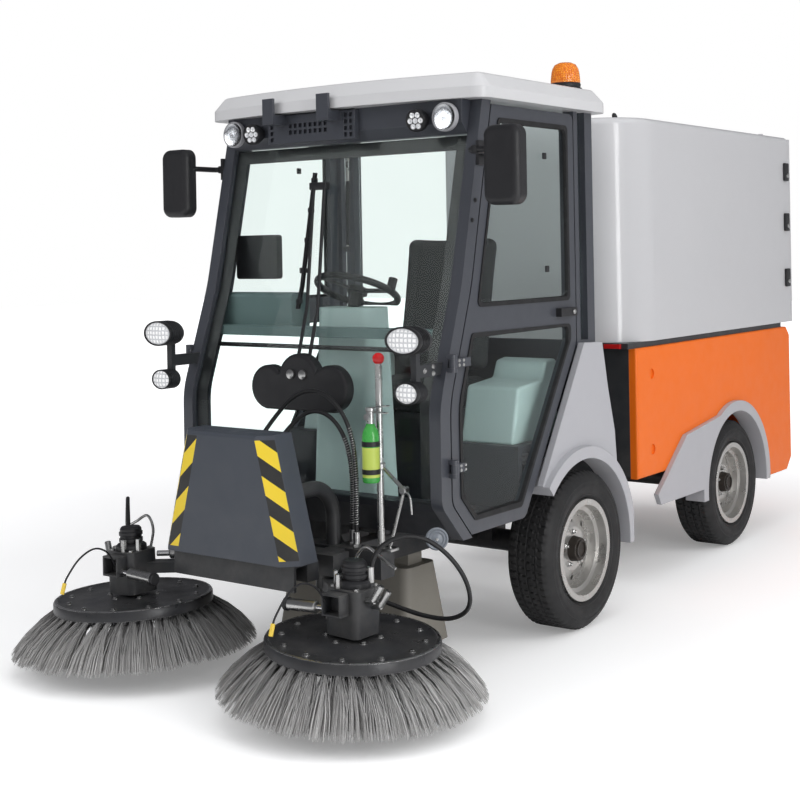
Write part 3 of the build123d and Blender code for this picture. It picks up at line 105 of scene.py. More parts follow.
def node_group(name, inputs, outputs, wire):
    """A reusable effect: wire returns the socket for each named output."""
    tree = bpy.data.node_groups.new(name, "ShaderNodeTree")
    for label, kind, default in inputs:
        tree.interface.new_socket(label, in_out="INPUT", socket_type=kind).default_value = default
    for label, kind in outputs:
        tree.interface.new_socket(label, in_out="OUTPUT", socket_type=kind)
    given = tree.nodes.new("NodeGroupInput").outputs
    sink = tree.nodes.new("NodeGroupOutput")
    for label, socket in wire(tree, given).items():
        tree.links.new(socket, sink.inputs[label])
    return tree


def wire_tone(tree, given):
    """Slow drift of colour and gloss, and a fine grain for the bump."""
    spot = place_of(tree)
    broad = put(tree, "TexNoise", {"Vector": spot, "Scale": 2.6, "Detail": 4.0}).outputs["Fac"]
    smear = put(tree, "TexNoise", {"Vector": spot, "Scale": 17.0, "Detail": 3.0}).outputs["Fac"]
    grain = put(tree, "TexNoise", {"Vector": spot, "Scale": given["Grain"], "Detail": 2.0}).outputs["Fac"]
    swing = math(tree, "MULTIPLY", math(tree, "SUBTRACT", broad, 0.5), given["Drift"])
    gain = math(tree, "ADD", math(tree, "MULTIPLY", swing, 2.0), 1.0)
    toned = put(tree, "HueSaturation", {"Color": given["Color"], "Value": gain}).outputs["Color"]
    span = put(tree, "MapRange", {"Value": smear, "From Min": 0.3, "From Max": 0.7,
                                  "To Min": given["Rough Low"], "To Max": given["Rough High"]})
    return {"Color": toned, "Roughness": span.outputs["Result"], "Height": grain}


def wire_wear(tree, given):
    """Paint rubbed thin along edges, broken up by noise."""
    rounded = put(tree, "Bevel", {"Radius": given["Radius"]}, samples=4).outputs["Normal"]
    flat = put(tree, "NewGeometry").outputs["Normal"]
    bend = put(tree, "VectorMath", {0: rounded, 1: flat}, operation="DOT_PRODUCT").outputs["Value"]
    edge = ramp(tree, bend, 0.98, 0.86)
    patch = put(tree, "TexNoise", {"Vector": place_of(tree), "Scale": 34.0, "Detail": 5.0}).outputs["Fac"]
    mask = math(tree, "MULTIPLY", math(tree, "MULTIPLY", edge, ramp(tree, patch, 0.38, 0.62)),
                given["Amount"])
    return {"Color": mix(tree, mask, given["Color"], given["Worn"]), "Mask": mask}


def wire_dust(tree, given):
    """Road dust that thickens towards the ground and on ledges."""
    spot = place_of(tree)
    height = put(tree, "SeparateXYZ", {0: spot}).outputs["Z"]
    up = put(tree, "SeparateXYZ", {0: put(tree, "NewGeometry").outputs["Normal"]}).outputs["Z"]
    cloud = put(tree, "TexNoise", {"Vector": spot, "Scale": 9.0, "Detail": 6.0,
                                   "Roughness": 0.65}).outputs["Fac"]
    low = put(tree, "MapRange", {"Value": height, "From Min": 0.0, "From Max": given["Top"],
                                 "To Min": 1.0, "To Max": 0.15}).outputs["Result"]
    settle = math(tree, "MULTIPLY", low, ramp(tree, up, -0.2, 1.0, 0.45, 1.0))
    mask = math(tree, "MULTIPLY", math(tree, "MULTIPLY", settle, ramp(tree, cloud, 0.35, 0.75)),
                given["Amount"])
    return {"Color": mix(tree, mask, given["Color"], given["Dust"]), "Mask": mask}


def wire_normal(tree, given):
    """Softly rounded edges with the grain on top."""
    soft = put(tree, "Bevel", {"Radius": given["Radius"]}, samples=4).outputs["Normal"]
    ins = {"Height": given["Height"], "Distance": given["Depth"], "Strength": 1.0, "Normal": soft}
    return {"Normal": put(tree, "Bump", ins).outputs["Normal"]}


def wire_weave(tree, given):
    """Crossed threads: darker between them, higher on top."""
    spot = put(tree, "VectorMath", {0: place_of(tree), 3: given["Threads"]},
               operation="SCALE").outputs["Vector"]
    axes = put(tree, "SeparateXYZ", {0: spot}).outputs
    across = math(tree, "SINE", math(tree, "ADD", axes["X"], axes["Z"]))
    length = math(tree, "SINE", axes["Y"])
    thread = ramp(tree, math(tree, "MULTIPLY", across, length), -1.0, 1.0)
    return {"Color": mix(tree, thread, given["Shade"], given["Color"]), "Height": thread}


def wire_cells(tree, given):
    """A lens of small bright cells with darker joints."""
    ins = {"Vector": place_of(tree), "Scale": given["Scale"], "Randomness": given["Scatter"]}
    edge = put(tree, "TexVoronoi", ins, feature="DISTANCE_TO_EDGE").outputs["Distance"]
    cell = ramp(tree, edge, 0.02, 0.3)
    return {"Color": mix(tree, cell, given["Joint"], given["Color"]), "Height": cell}


TONE = node_group(
    "surface_tone",
    [("Color", COLOR, rgba((0.5, 0.5, 0.5))), ("Drift", VALUE, 0.06), ("Rough Low", VALUE, 0.4),
     ("Rough High", VALUE, 0.55), ("Grain", VALUE, 500.0)],
    [("Color", COLOR), ("Roughness", VALUE), ("Height", VALUE)], wire_tone)
WEAR = node_group(
    "edge_wear",
    [("Color", COLOR, rgba((0.5, 0.5, 0.5))), ("Worn", COLOR, rgba((0.4, 0.4, 0.4))),
     ("Amount", VALUE, 0.3), ("Radius", VALUE, 0.004)],
    [("Color", COLOR), ("Mask", VALUE)], wire_wear)
DUST = node_group(
    "road_dust",
    [("Color", COLOR, rgba((0.5, 0.5, 0.5))), ("Dust", COLOR, rgba((0.3, 0.28, 0.25))),
     ("Amount", VALUE, 0.2), ("Top", VALUE, 1.0)],
    [("Color", COLOR), ("Mask", VALUE)], wire_dust)
SOFT_NORMAL = node_group(
    "soft_normal",
    [("Height", VALUE, 0.5), ("Depth", VALUE, 0.0003), ("Radius", VALUE, 0.003)],
    [("Normal", VECTOR)], wire_normal)
WEAVE = node_group(
    "cloth_weave",
    [("Color", COLOR, rgba((0.1, 0.1, 0.1))), ("Shade", COLOR, rgba((0.02, 0.02, 0.02))),
     ("Threads", VALUE, 900.0)],
    [("Color", COLOR), ("Height", VALUE)], wire_weave)
CELLS = node_group(
    "lens_cells",
    [("Color", COLOR, rgba((0.9, 0.9, 0.9))), ("Joint", COLOR, rgba((0.4, 0.4, 0.4))),
     ("Scale", VALUE, 60.0), ("Scatter", VALUE, 0.3)],
    [("Color", COLOR), ("Height", VALUE)], wire_cells)

FINISH = {}
COAT_ROUGH = 0.08
GLASS_SHADE = 0.25


def finish(name, color, metal=0.0, rough=(0.4, 0.55), drift=0.06, grain=500.0, depth=0.0003, soft=0.003,
           wear=0.0, worn=(0.42, 0.42, 0.42), dust=0.0, dust_top=1.1, coat=0.0, glow=0.0):
    """An opaque finish. color is a plain colour, or a function that wires a colour pattern and its height."""
    material = bpy.data.materials.new(name)
    material.use_nodes = True
    tree = material.node_tree
    shader = tree.nodes["Principled BSDF"]
    pattern = color(tree) if callable(color) else {"Color": rgba(color)}
    tone = put(tree, "Group", {"Color": pattern["Color"], "Drift": drift, "Rough Low": rough[0],
                               "Rough High": rough[1], "Grain": grain}, node_tree=TONE).outputs
    shown = tone["Color"]
    if wear:
        ins = {"Color": shown, "Worn": rgba(worn), "Amount": wear}
        shown = put(tree, "Group", ins, node_tree=WEAR).outputs["Color"]
    if dust:
        ins = {"Color": shown, "Amount": dust, "Top": dust_top}
        shown = put(tree, "Group", ins, node_tree=DUST).outputs["Color"]
    height = pattern.get("Height", tone["Height"])
    if soft:
        ins = {"Height": height, "Depth": depth, "Radius": soft}
        normal = put(tree, "Group", ins, node_tree=SOFT_NORMAL).outputs["Normal"]
    else:
        normal = put(tree, "Bump", {"Height": height, "Distance": depth, "Strength": 1.0}).outputs["Normal"]
    tree.links.new(shown, shader.inputs["Base Color"])
    tree.links.new(tone["Roughness"], shader.inputs["Roughness"])
    tree.links.new(normal, shader.inputs["Normal"])
    shader.inputs["Metallic"].default_value = metal
    shader.inputs["Coat Weight"].default_value = coat
    shader.inputs["Coat Roughness"].default_value = COAT_ROUGH
    if glow:
        tree.links.new(shown, shader.inputs["Emission Color"])
        shader.inputs["Emission Strength"].default_value = glow
    FINISH[name] = material


def clear_finish(name, color, rough=(0.01, 0.04), bend=1.45):
    """Glass or clear plastic that lets most light through to what is behind it."""
    material = bpy.data.materials.new(name)
    material.use_nodes = True
    tree = material.node_tree
    shader = tree.nodes["Principled BSDF"]
    tone = put(tree, "Group", {"Color": rgba(color), "Drift": 0.02, "Rough Low": rough[0],
                               "Rough High": rough[1], "Grain": 40.0}, node_tree=TONE).outputs
    shadow = put(tree, "LightPath").outputs["Is Shadow Ray"]
    tree.links.new(tone["Color"], shader.inputs["Base Color"])
    tree.links.new(tone["Roughness"], shader.inputs["Roughness"])
    tree.links.new(ramp(tree, shadow, 0.0, 1.0, 1.0, GLASS_SHADE), shader.inputs["Alpha"])
    shader.inputs["Transmission Weight"].default_value = 1.0
    shader.inputs["IOR"].default_value = bend
    FINISH[name] = material


def bristle_pattern(tree):
    """Each strand has its own grey, and painted shade darkens it near its root, under the disc."""
    strand = put(tree, "NewGeometry").outputs["Random Per Island"]
    height = put(tree, "SeparateXYZ", {0: place_of(tree)}).outputs["Z"]
    grey = mix(tree, strand, rgba((0.32, 0.315, 0.31)), rgba((0.7, 0.69, 0.68)))
    # Painted shade: each strand's grey turns darker towards the disc above it.
    return {"Color": mix(tree, ramp(tree, height, 0.12, 0.23, 0.0, 0.55), grey, rgba((0.09, 0.09, 0.095)))}


def weave_pattern(tree):
    """Dark seat cloth."""
    return put(tree, "Group", {"Color": rgba((0.045, 0.048, 0.052))}, node_tree=WEAVE).outputs


def led_pattern(tree):
    """Bright cells of a lamp."""
    return put(tree, "Group", {"Color": rgba((0.95, 0.95, 0.95)), "Joint": rgba((0.5, 0.51, 0.53)),
                               "Scale": 58.0, "Scatter": 0.12}, node_tree=CELLS).outputs


def amber_pattern(tree):
    """Moulded amber lens."""
    return put(tree, "Group", {"Color": rgba((0.95, 0.33, 0.02)), "Joint": rgba((0.62, 0.13, 0.01)),
                               "Scale": 110.0}, node_tree=CELLS).outputs


# Front box: height of its bottom edge, of the bars, and its half width at two heights
BOX_LOW = 0.471
BOX_HIGH = 0.971
BOX_HALF_LOW = 0.2734
BOX_HALF_HIGH = 0.14645
BOX_EDGE_X = 1.797
BAR_LOW = 0.49
BAR_HIGH = 0.9
BAR_BAND = 0.05
BAR_PITCH = 0.135
BAR_SHIFT = 4.0


def both(tree, first, second):
    """One where both masks are one."""
    return math(tree, "MULTIPLY", first, second)


def hazard_pattern(tree):
    """Slanted yellow and black bars on the cut edges of the front box and round its right rim."""
    axes = put(tree, "SeparateXYZ", {0: place_of(tree)}).outputs
    ahead = put(tree, "SeparateXYZ", {0: put(tree, "NewGeometry").outputs["True Normal"]}).outputs["X"]
    above = math(tree, "GREATER_THAN", axes["Z"], BAR_LOW)
    high = both(tree, above, math(tree, "LESS_THAN", axes["Z"], BAR_HIGH))
    flat = math(tree, "GREATER_THAN", ahead, 0.9)
    cut = both(tree, math(tree, "GREATER_THAN", ahead, 0.4), math(tree, "LESS_THAN", ahead, 0.9))
    cut = both(tree, cut, math(tree, "GREATER_THAN", axes["X"], BOX_EDGE_X))
    over = math(tree, "MULTIPLY", axes["Y"], -1.0)
    half = ramp(tree, axes["Z"], BOX_LOW, BOX_HIGH, BOX_HALF_LOW, BOX_HALF_HIGH)
    rim = both(tree, flat, math(tree, "LESS_THAN", math(tree, "SUBTRACT", half, over), BAR_BAND))
    mask = both(tree, high, math(tree, "MAXIMUM", cut, rim))
    cut_slant = math(tree, "MULTIPLY", cut, math(tree, "MULTIPLY", axes["X"], -1.2))
    rim_slant = math(tree, "MULTIPLY", rim, math(tree, "MULTIPLY", over, 0.9))
    slant = math(tree, "ADD", cut_slant, rim_slant)
    climb = math(tree, "ADD", math(tree, "ADD", axes["Z"], slant), BAR_SHIFT)
    bar = math(tree, "GREATER_THAN", math(tree, "FRACT", math(tree, "DIVIDE", climb, BAR_PITCH)), 0.5)
    tape = mix(tree, bar, rgba((0.02, 0.02, 0.02)), rgba((0.85, 0.62, 0.03)))
    return {"Color": mix(tree, mask, rgba((0.052, 0.06, 0.076)), tape)}


finish("tyre_rubber", (0.012, 0.012, 0.013), rough=(0.55, 0.75), grain=900, soft=0, dust=0.07, dust_top=0.75)
finish("rim_silver", (0.56, 0.55, 0.53), metal=0.85, rough=(0.24, 0.36), depth=0.0002, dust=0.25,
       dust_top=0.8)
finish("hub_dark", (0.05, 0.042, 0.036), metal=0.6, rough=(0.4, 0.6), wear=0.5)
finish("chassis_black", (0.028, 0.03, 0.034), rough=(0.34, 0.5), wear=0.35, worn=(0.14, 0.14, 0.14), dust=0.4)
finish("cab_grey", (0.05, 0.054, 0.066), rough=(0.32, 0.44), grain=700, depth=0.0002, wear=0.25,
       worn=(0.2, 0.2, 0.21), coat=0.25)
finish("floor_dark", (0.028, 0.03, 0.036), rough=(0.45, 0.6), soft=0)
finish("box_stripes", hazard_pattern, rough=(0.34, 0.46), depth=0.0002, wear=0.2, worn=(0.2, 0.2, 0.2),
       dust=0.15)
finish("body_silver", (0.56, 0.56, 0.575), rough=(0.3, 0.38), drift=0.015, grain=900, depth=0.00005,
       soft=0.004, coat=0.6)
finish("roof_pale", (0.62, 0.62, 0.63), rough=(0.3, 0.4), drift=0.02, depth=0.00005, soft=0.004, coat=0.25)
finish("fender_grey", (0.43, 0.43, 0.455), rough=(0.36, 0.46), drift=0.02, grain=900, depth=0.00008,
       soft=0.006, coat=0.15, dust=0.08)
finish("panel_orange", (0.88, 0.16, 0.003), rough=(0.4, 0.5), drift=0.03, depth=0.0001, wear=0.1,
       worn=(0.8, 0.36, 0.16))
finish("trim_black", (0.016, 0.016, 0.018), rough=(0.36, 0.55), grain=1100, depth=0.0003)
finish("rubber_black", (0.012, 0.012, 0.013), rough=(0.55, 0.75), soft=0)
finish("mouth_beige", (0.24, 0.225, 0.195), rough=(0.5, 0.65), wear=0.6, worn=(0.3, 0.29, 0.28), dust=0.4,
       dust_top=0.5)
finish("console_teal", (0.42, 0.53, 0.52), rough=(0.45, 0.6), grain=1200, soft=0.012)
finish("shelf_teal", (0.1, 0.15, 0.15), rough=(0.5, 0.65), soft=0.006)
finish("seat_fabric", weave_pattern, rough=(0.75, 0.9), depth=0.0006, soft=0)
finish("hose_rubber", (0.014, 0.014, 0.015), rough=(0.3, 0.45), grain=1500, depth=0.0004, soft=0)
finish("bristle_grey", bristle_pattern, rough=(0.4, 0.6), soft=0, metal=0.2)
finish("disc_dark", (0.04, 0.041, 0.045), metal=0.3, rough=(0.26, 0.4), wear=0.9, worn=(0.62, 0.62, 0.62),
       dust=0.15)
finish("steel", (0.6, 0.6, 0.59), metal=1.0, rough=(0.2, 0.36), grain=260, depth=0.0001, soft=0.001)
finish("lamp_led", led_pattern, rough=(0.08, 0.18), depth=0.002, soft=0, coat=0.8, glow=0.25)
finish("lamp_chrome", (0.85, 0.85, 0.86), metal=1.0, rough=(0.06, 0.14), soft=0)
finish("lamp_amber", amber_pattern, rough=(0.1, 0.2), depth=0.001, soft=0, coat=0.7, glow=0.12)
finish("lamp_red", (0.5, 0.012, 0.012), rough=(0.1, 0.2), soft=0.002, coat=0.7)
finish("ball_red", (0.62, 0.01, 0.012), rough=(0.12, 0.22), soft=0, coat=0.6)
finish("bottle_green", (0.06, 0.4, 0.07), rough=(0.2, 0.32), soft=0.002, coat=0.5)
finish("bottle_band", (0.56, 0.68, 0.12), rough=(0.3, 0.42), soft=0.002)
finish("tip_yellow", (0.85, 0.6, 0.08), rough=(0.35, 0.5), soft=0.001)
finish("horn_grey", (0.2, 0.22, 0.25), rough=(0.3, 0.42), soft=0.002, coat=0.3)
finish("mirror_glass", (0.82, 0.84, 0.86), metal=1.0, rough=(0.02, 0.06), soft=0)
finish("screen_dark", (0.01, 0.012, 0.014), rough=(0.08, 0.16), soft=0.001, coat=0.5)
clear_finish("tinted_glass", (0.92, 0.97, 0.955), (0.0, 0.004), bend=1.18)
clear_finish("lens_clear", (0.94, 0.95, 0.96))

SLOT_FINISH = {"lamp_clear": "trim_black"}


# Mesh helpers
def facing(spot, normal):
    """A placing whose Z axis points along normal at spot."""
    return Matrix.Translation(Vector(spot)) @ Vector(normal).to_track_quat("Z", "Y").to_matrix().to_4x4()


def smooth_path(points, parts=8):
    """More points along a rounded line through the given ones."""
    spots = [Vector(p) for p in points]
    spots = [2 * spots[0] - spots[1], *spots, 2 * spots[-1] - spots[-2]]
    path = []
    for a, b, c, d in zip(spots, spots[1:], spots[2:], spots[3:]):
        for k in range(parts):
            t = k / parts
            path.append(0.5 * (2 * b + (c - a) * t + (2 * a - 5 * b + 4 * c - d) * t ** 2
                               + (3 * b - a - 3 * c + d) * t ** 3))
    return [*path, spots[-2]]


def hang(name, mesh, body, replaces=()):
    """Puts a mesh, with the finishes it already carries, in the scene on a body."""
    obj = bpy.data.objects.new(name, mesh)
    scene.collection.objects.link(obj)
    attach(obj, body)
    if replaces:
        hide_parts(*replaces)
    return obj


class Shape:
    """Gathers closed forms, each with its finish, into one mesh."""

    def __init__(self):
        self.points = []
        self.faces = []
        self.looks = []

    def add(self, points, faces, look):
        """Takes loose points and faces."""
        start = len(self.points)
        self.points += points
        self.faces += [tuple(start + i for i in face) for face in faces]
        self.looks += [look] * len(faces)

    def skin(self, rings, look, loop=False):
        """Joins rings of points; the ends are capped unless the last ring meets the first."""
        steps = len(rings[0])
        count = len(rings)
        faces = []
        for a in range(count if loop else count - 1):
            here = a * steps
            there = (a + 1) % count * steps
            for k in range(steps):
                n = (k + 1) % steps
                faces.append((here + k, here + n, there + n, there + k))
        if not loop:
            faces.append(tuple(reversed(range(steps))))
            faces.append(tuple(range((count - 1) * steps, count * steps)))
        self.add([p for ring in rings for p in ring], faces, look)

    def lathe(self, place, profile, look, steps=32, loop=False, flutes=0, flute=0.0):
        """Turns (radius, height) pairs round the Z axis of place."""
        rings = []
        for radius, height in profile:
            ring = []
            for k in range(steps):
                angle = tau * k / steps
                reach = max(radius, 0.0002) * (1 + flute * cos(flutes * angle))
                ring.append(place @ Vector((reach * cos(angle), reach * sin(angle), height)))
            rings.append(ring)
        self.skin(rings, look, loop)

    def tube(self, path, radius, look, steps=12):
        """A round bar along a path."""
        side = None
        rings = []
        for i, spot in enumerate(path):
            ahead = (path[min(i + 1, len(path) - 1)] - path[max(i - 1, 0)]).normalized()
            side = ahead.orthogonal() if side is None else side - ahead * side.dot(ahead)
            side.normalize()
            over = ahead.cross(side)
            turns = [tau * k / steps for k in range(steps)]
            rings.append([spot + radius * (side * cos(t) + over * sin(t)) for t in turns])
        self.skin(rings, look)

    def rod(self, start, end, radius, look, steps=20):
        """A straight round bar with chamfered ends."""
        start = Vector(start)
        end = Vector(end)
        length = (end - start).length
        cut = min(radius * 0.2, length * 0.2)
        profile = ((0, 0), (radius - cut, 0), (radius, cut), (radius, length - cut), (radius - cut, length),
                   (0, length))
        self.lathe(facing(start, end - start), profile, look, steps)

    def block(self, place, size, look, edge=0.002):
        """A box with rounded edges."""
        bm = bmesh.new()
        bmesh.ops.create_cube(bm, size=1.0, matrix=place @ Matrix.Diagonal((*size, 1.0)))
        bmesh.ops.bevel(bm, geom=bm.edges[:], offset=edge, segments=2, profile=0.5, affect="EDGES")
        bm.verts.index_update()
        self.add([v.co.copy() for v in bm.verts], [[v.index for v in f.verts] for f in bm.faces], look)
        bm.free()

    def slab(self, place, outline, depth, look):
        """A flat outline made depth thick along the Z axis of place."""
        rings = [[place @ Vector((x, y, h)) for x, y in outline] for h in (0.0, depth)]
        self.skin(rings, look)

    def bolt(self, spot, normal, size=0.009, look="steel"):
        """A hexagon head on a washer."""
        place = facing(spot, normal)
        washer = ((0, -0.001), (size * 1.3, -0.001), (size * 1.3, 0.0015), (0, 0.0015))
        head = ((0, 0.001), (size, 0.001), (size, size * 0.7), (size * 0.8, size * 0.9), (0, size * 0.9))
        self.lathe(place, washer, look, 20)
        self.lathe(place, head, look, 6)

    def piece(self, name, body, slot, replaces=(), sharp=35):
        """Makes the mesh and hangs it on its body."""
        kinds = list(dict.fromkeys(self.looks))
        mesh = bpy.data.meshes.new(name)
        mesh.from_pydata(self.points, [], self.faces)
        for kind in kinds:
            mesh.materials.append(FINISH[kind])
        mesh.polygons.foreach_set("material_index", [kinds.index(look) for look in self.looks])
        mesh.polygons.foreach_set("use_smooth", [True] * len(mesh.polygons))
        bm = bmesh.new()
        bm.from_mesh(mesh)
        bmesh.ops.recalc_face_normals(bm, faces=bm.faces[:])
        bm.to_mesh(mesh)
        bm.free()
        mesh.set_sharp_from_angle(angle=radians(sharp))
        return hang(name, mesh, body, replaces)


def rounded_outline(wide, high, radius, steps=6):
    """Corner-rounded rectangle round the origin."""
    outline = []
    for turn, (sx, sy) in enumerate(((1, 1), (-1, 1), (-1, -1), (1, -1))):
        for k in range(steps + 1):
            angle = pi / 2 * (turn + k / steps)
            x = sx * (wide / 2 - radius) + radius * cos(angle)
            y = sy * (high / 2 - radius) + radius * sin(angle)
            outline.append((x, y))
    return outline


# Camera, from a fit of the model's points to the photograph
CAMERA_SPOT = Vector((5.4469, 3.4751, 1.5601))
CAMERA_YAW = radians(36.5)
CAMERA_ROLL = radians(1.03)
CAMERA_LENS = 62.83
CAMERA_SHIFT = -0.1892


def make_camera():
    """A level camera with a shifted window, as the photograph has."""
    data = bpy.data.cameras.new("camera")
    data.sensor_width = 36.0
    data.lens = CAMERA_LENS
    data.shift_y = CAMERA_SHIFT
    back = Vector((cos(CAMERA_YAW), sin(CAMERA_YAW), 0.0))
    up = Vector((0.0, 0.0, 1.0))
    turn = Matrix((up.cross(back), up, back)).transposed().to_4x4()
    camera = bpy.data.objects.new("camera", data)
    camera.matrix_world = Matrix.Translation(CAMERA_SPOT) @ turn @ Matrix.Rotation(-CAMERA_ROLL, 4, "Z")
    scene.collection.objects.link(camera)
    scene.camera = camera


make_camera()

# Hoses along the same routes as the CAD ones: name, body, points in millimetres
HOSE_R = 0.008
MOTOR_ROUTE = (
    (1748, 590, 442), (1748, 590, 525), (1700, 645, 590), (1630, 720, 592), (1570, 790, 525),
    (1530, 838, 430), (1498, 828, 330), (1490, 742, 278), (1506, 640, 280), (1542, 548, 308),
    (1580, 462, 342),
)
HOSES = (
    ("hose_upper", "front", (
        (1705, -40, 850), (1608, -40, 850), (1550, -10, 935), (1525, 75, 1030), (1510, 175, 1050),
        (1500, 262, 995), (1492, 312, 905), (1482, 322, 800), (1466, 312, 690), (1452, 298, 575),
        (1452, 298, 471),
    )),
    ("hose_lower", "front", (
        (1705, 40, 830), (1608, 40, 830), (1555, 70, 910), (1525, 145, 975), (1505, 225, 960),
        (1485, 280, 880), (1465, 290, 780), (1445, 280, 675), (1428, 262, 570), (1428, 262, 471),
    )),
    ("motor_hose_left", "brush_arm_left", MOTOR_ROUTE),
    ("motor_hose_right", "brush_arm_right", tuple((x, -y, z) for x, y, z in MOTOR_ROUTE)),
)
GUARD_PART = {"hose_upper": (0.6, 0.95), "hose_lower": (0.56, 0.94)}
GUARD_PITCH = 0.009
GUARD_STEPS = 12
GUARD_R = 0.0019
GUARD_GAP = 0.0012


def line_of(curve):
    """Points along a curve's own line."""
    bare = curve.copy()
    bare.bevel_depth = 0.0
    probe = bpy.data.objects.new("probe", bare)
    mesh = bpy.data.meshes.new_from_object(probe)
    spots = [vert.co.copy() for vert in mesh.vertices]
    bpy.data.objects.remove(probe)
    bpy.data.curves.remove(bare)
    bpy.data.meshes.remove(mesh)
    return spots


def hose_guard(name, body, spots):
    """A bright wire wound round part of a hose."""
    first, last = (round(share * (len(spots) - 1)) for share in GUARD_PART[name])
    helix = []
    side = None
    turn = 0.0
    for here, there in zip(spots[first:last], spots[first + 1:last + 1]):
        ahead = (there - here).normalized()
        side = ahead.orthogonal() if side is None else side - ahead * side.dot(ahead)
        side.normalize()
        over = ahead.cross(side)
        steps = max(2, round((there - here).length / GUARD_PITCH * GUARD_STEPS))
        for k in range(steps):
            angle = turn + tau * k / GUARD_STEPS
            out = side * cos(angle) + over * sin(angle)
            helix.append(here.lerp(there, k / steps) + (HOSE_R + GUARD_GAP) * out)
        turn += tau * steps / GUARD_STEPS
    shape = Shape()
    shape.tube(helix, GUARD_R, "steel", 6)
    return shape.piece(name + "_guard", body, "hose_rubber", sharp=80)


def lay_hose(name, body, route):
    """A round hose along its route, in place of the CAD one."""
    spots = [Vector(point) / 1000 for point in route]
    curve = bpy.data.curves.new(name + "_lay", "CURVE")
    curve.dimensions = "3D"
    curve.bevel_depth = HOSE_R
    curve.bevel_resolution = 5
    curve.use_fill_caps = True
    curve.resolution_u = 10
    spline = curve.splines.new("NURBS")
    spline.points.add(len(spots) - 1)
    for point, spot in zip(spline.points, spots):
        point.co = (*spot, 1.0)
    spline.order_u = 3
    spline.use_endpoint_u = True
    curve.materials.append(FINISH["hose_rubber"])
    hose = bpy.data.objects.new(name + "_lay", curve)
    scene.collection.objects.link(hose)
    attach(hose, body)
    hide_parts(name)
    extras = [hose_guard(name, body, line_of(curve))] if name in GUARD_PART else []


for hose_name, hose_body, hose_route in HOSES:
    lay_hose(hose_name, hose_body, hose_route)


# CAD nodes: finish by slot, then nodes with more than one finish
CAD_SHARP = 24
LEVER_BALL_Z = 1.135
SCREEN_FACE_X = 1.094
HANDLE_Y = 0.641
HANDLE_X = 0.6
HANDLE_Z = (1.26, 1.33)
HUB_CAP_R = 0.054


def dress(node, *looks, choose=None):
    """Gives a node its finishes; choose picks one by a face's centre and normal."""
    mesh = frame["nodes"][node].data
    mesh.materials.clear()
    for look in looks:
        mesh.materials.append(FINISH[look])
    for face in mesh.polygons:
        face.material_index = choose(face.center, face.normal) if choose else 0
        face.use_smooth = True
    mesh.set_sharp_from_angle(angle=radians(CAD_SHARP))


for part in frame["record"]["subparts"]:
    slot = part["material_slot"]
    dress(part["node"], SLOT_FINISH.get(slot, slot))

dress("front_box", "box_stripes")
dress("dash_bar", "shelf_teal")
dress("cab_roof", "roof_pale")
dress("cab_floor", "floor_dark")
dress("front_fenders", "fender_grey")
dress("rear_arches", "fender_grey")
dress("lever_post", "steel", "ball_red", choose=lambda c, n: int(c.z > LEVER_BALL_Z))
dress("monitor", "trim_black", "screen_dark", choose=lambda c, n: int(n.x < -0.9 and c.x < SCREEN_FACE_X))
for side, s in SIDES:
    dress(f"door_{side}", "cab_grey", "trim_black",
          choose=lambda c, n: int(abs(c.y) > HANDLE_Y and c.x < HANDLE_X and HANDLE_Z[0] < c.z < HANDLE_Z[1]))
WHEELS = (
    ("front_left", 0.44, 0.592, 1), ("front_right", 0.44, -0.592, -1),
    ("rear_left", -1.368, 0.453, 1), ("rear_right", -1.368, -0.453, -1),
)
HUB_Z = 0.32
for name, x, y, s in WHEELS:
    dress(f"rim_{name}", "rim_silver", "hub_dark",
          choose=lambda c, n: int((c.x - x) ** 2 + (c.z - HUB_Z) ** 2 < HUB_CAP_R ** 2))

# Tyres with ribs, blocks and shoulder grooves
TYRE_R = 0.32
TREAD_HALF = 0.0725
TREAD_STEPS = 40
TREAD_DEEP = 0.007
TYRE_TURNS = 320
BLOCKS = 64
GROOVES_Y = (-0.04, 0.0, 0.04)
GROOVE_HALF = 0.0034
SHOULDER_Y = 0.044
SIDEWALL = (
    (0.1925, 0.078), (0.2065, 0.0785), (0.214, 0.085), (0.221, 0.0935), (0.224, 0.0955), (0.229, 0.0945),
    (0.243, 0.0995), (0.256, 0.1018), (0.262, 0.1024), (0.264, 0.1016), (0.276, 0.1012), (0.278, 0.1024),
    (0.281, 0.1012), (0.292, 0.0975), (0.304, 0.09), (0.312, 0.0818),
)


def tread_cut(angle, y):
    """How deep the tread is cut at a place: ribs, slanted sipes and open shoulder slots."""
    rib = any(abs(y - middle) < GROOVE_HALF for middle in GROOVES_Y)
    slant = 0.6 * y / TREAD_HALF
    phase = (angle * BLOCKS / tau + slant) % 1.0
    slot = phase < (0.26 if abs(y) > SHOULDER_Y else 0.14)
    return TREAD_DEEP if rib else TREAD_DEEP * 0.8 if slot else 0.0


def tyre_mesh():
    """One tyre round the Y axis at the origin."""
    rows = [(r, -y, False) for r, y in SIDEWALL]
    rows += [(TYRE_R, TREAD_HALF * (2 * k / TREAD_STEPS - 1), True) for k in range(TREAD_STEPS + 1)]
    rows += [(r, y, False) for r, y in reversed(SIDEWALL)]
    shape = Shape()
    rings = []
    for r, y, cut in rows:
        ring = []
        for k in range(TYRE_TURNS):
            angle = tau * k / TYRE_TURNS
            reach = r - tread_cut(angle, y) if cut else r
            ring.append(Vector((reach * cos(angle), y, reach * sin(angle))))
        rings.append(ring)
    shape.skin(rings, "tyre_rubber", loop=True)
    return shape


def place_tyres():
    """The same tyre at each corner, in place of the CAD one."""
    first = None
    for name, x, y, s in WHEELS:
        if first is None:
            tyre = tyre_mesh().piece(f"tyre_tread_{name}", f"wheel_{name}", "tyre_rubber", sharp=28)
            first = tyre.data
        else:
            tyre = hang(f"tyre_tread_{name}", first, f"wheel_{name}")
        tyre.matrix_world = Matrix.Translation((x, y, HUB_Z))
        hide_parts(f"tyre_{name}")


place_tyres()


